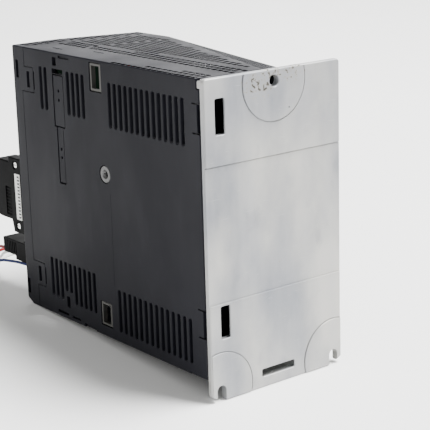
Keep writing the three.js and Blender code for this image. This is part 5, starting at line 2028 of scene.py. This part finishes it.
    def _insert(self, workshop: Workshop) -> None:
        """Make the metal insert whose mouth takes the socket's tongue."""
        outline = rounded((self.x, self.z), 6.6, 38.0, 1.4)
        tipped = rounded((self.x, self.z), 6.1, 37.5, 1.2)
        body = loft(Y, [(self.start - 5.6, outline), (self.nose - 0.4, outline), (self.nose, tipped)])
        mouth = prism(Y, rounded((self.x, self.z), 3.2, 33.0, 0.4), 0, self.nose + 1)
        workshop.place("plug_insert", body.cut(mouth), NICKEL, body=Body.PLUG, replaces=["io_plug_insert"])


@dataclass
class WiredPlugs:
    """The stepped feeder plug and the small relay plug, which the loose wires come out of."""

    feeder_x: Pair = (28.0, 40.0)
    feeder_z: Pair = (32.6, 44.8)
    feeder_out: float = -34.5
    step_y: float = -20.5
    step_z: float = 35.1
    relay_x: Pair = (32.0, 41.0)
    relay_z: Pair = (26.7, 32.1)
    relay_out: float = -3.0
    back: float = -0.5
    nose: float = 6.0

    def build(self, workshop: Workshop) -> dict[str, Piece]:
        """Make both plugs and give them by their nodes' names."""
        return {"feeder_plug": self._feeder(workshop), "relay_plug": self._relay(workshop)}

    def _feeder(self, workshop: Workshop) -> Piece:
        """Make the feeder plug with its screw wells and ribbed side."""
        (x0, x1), (low, high) = self.feeder_x, self.feeder_z
        side = [(self.back, low), (self.back, high), (self.feeder_out, high),
            (self.feeder_out, self.step_z), (self.step_y, self.step_z), (self.step_y, low)]
        body = prism(X, side, x0, x1).bevelled(0.5, 2)
        tongue = block((x0 + 2, x1 - 2), (self.back - 1, self.nose), (low + 2.2, high - 2.2))
        wells = [prism(Z, disc((x, -12.0), 1.5, 20), high - 3, high + 1) for x in (31.0, 34.0, 37.0)]
        groove = block((x1 - 0.6, x1 + 1), (-0.45, 0.45), (self.step_z + 1.2, high - 1.2))
        grooves = row(groove, BLACK, count=7, first=(0, -31.5, 0), step=(0, 2.0, 0))
        plug = body.join(tongue).cut(*wells, grooves)
        return workshop.place("feeder_plug_body", plug, GLOSS_BLACK, replaces=["feeder_plug"])

    def _relay(self, workshop: Workshop) -> Piece:
        """Make the relay plug."""
        (x0, x1), (low, high) = self.relay_x, self.relay_z
        body = block((x0, x1), (self.relay_out, self.back), (low, high)).bevelled(0.4, 2)
        tongue = block((x0 + 1, x1 - 1), (self.relay_out + 0.1, self.nose), (low - 3.5, low + 1))
        groove = block((-0.35, 0.35), (-5, self.relay_out + 0.4), (low + 1.4, high - 0.8))
        grooves = row(groove, BLACK, count=3, first=(33.6, 0, 0), step=(1.2, 0, 0))
        return workshop.place("relay_plug_body", body.join(tongue).cut(grooves), GLOSS_BLACK,
            replaces=["relay_plug"])


def wires() -> list[LooseWire]:
    """Give the three loose wires."""
    return [LooseWire("red", RED, [(36.5, -34.8, 36.2), (36.6, -46, 35), (35, -60, 28.5), (31, -73, 21.5),
        (22, -84, 18.9), (8, -88, 19), (-6, -84, 19.2)], ("feeder_plug",)),
        LooseWire("white", WHITE, [(33, -20.8, 33.8), (33, -34, 33.3), (32, -48, 29.5), (28.5, -61, 22),
        (22, -71, 18.1), (11, -76, 18.2), (-3, -74, 18.6)], ()),
        LooseWire("blue", BLUE, [(37.5, -3.3, 31), (37.5, -14, 30.6), (38, -28, 29.4), (39.5, -42, 27.2),
        (41, -56, 21.5), (41, -69, 18), (37, -82, 18.7), (28, -93, 19.8)], ("relay_plug",)),]


def main() -> None:
    """Build the scene's camera, stage, wires and every part of the drive."""
    logging.basicConfig(level=logging.INFO, format="%(message)s")
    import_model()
    envelope = Envelope.read()
    workshop = Workshop(envelope)
    CameraRig().build()
    StudioStage(envelope).build()
    plugs = WiredPlugs().build(workshop)
    for wire in wires():
        wire.build(workshop, plugs)
    shell = Shell(envelope)
    end = envelope.plate_front - CLEARANCE
    whole = shell.whole(end)
    cover = FrontCover(shell)
    Casing(shell).build(workshop, whole, end)
    cover.build(workshop, whole)
    Heatsink(envelope).build(workshop)
    MetalFrames(envelope, shell.inner).build(workshop)
    SideScrew(shell.inner).build(workshop)
    SocketBank().build(workshop)
    SetupPort().build(workshop)
    DisplayBay(envelope.height).build(workshop)
    ChargeLamp(*cover.lamp).build(workshop)
    CircuitStack(shell.inner).build(workshop)
    PowerParts().build(workshop)
    CoolingFan(envelope.floor + shell.wall + CLEARANCE).build(workshop)
    IoPlug().build(workshop)


if __name__ == "__main__":
    main()
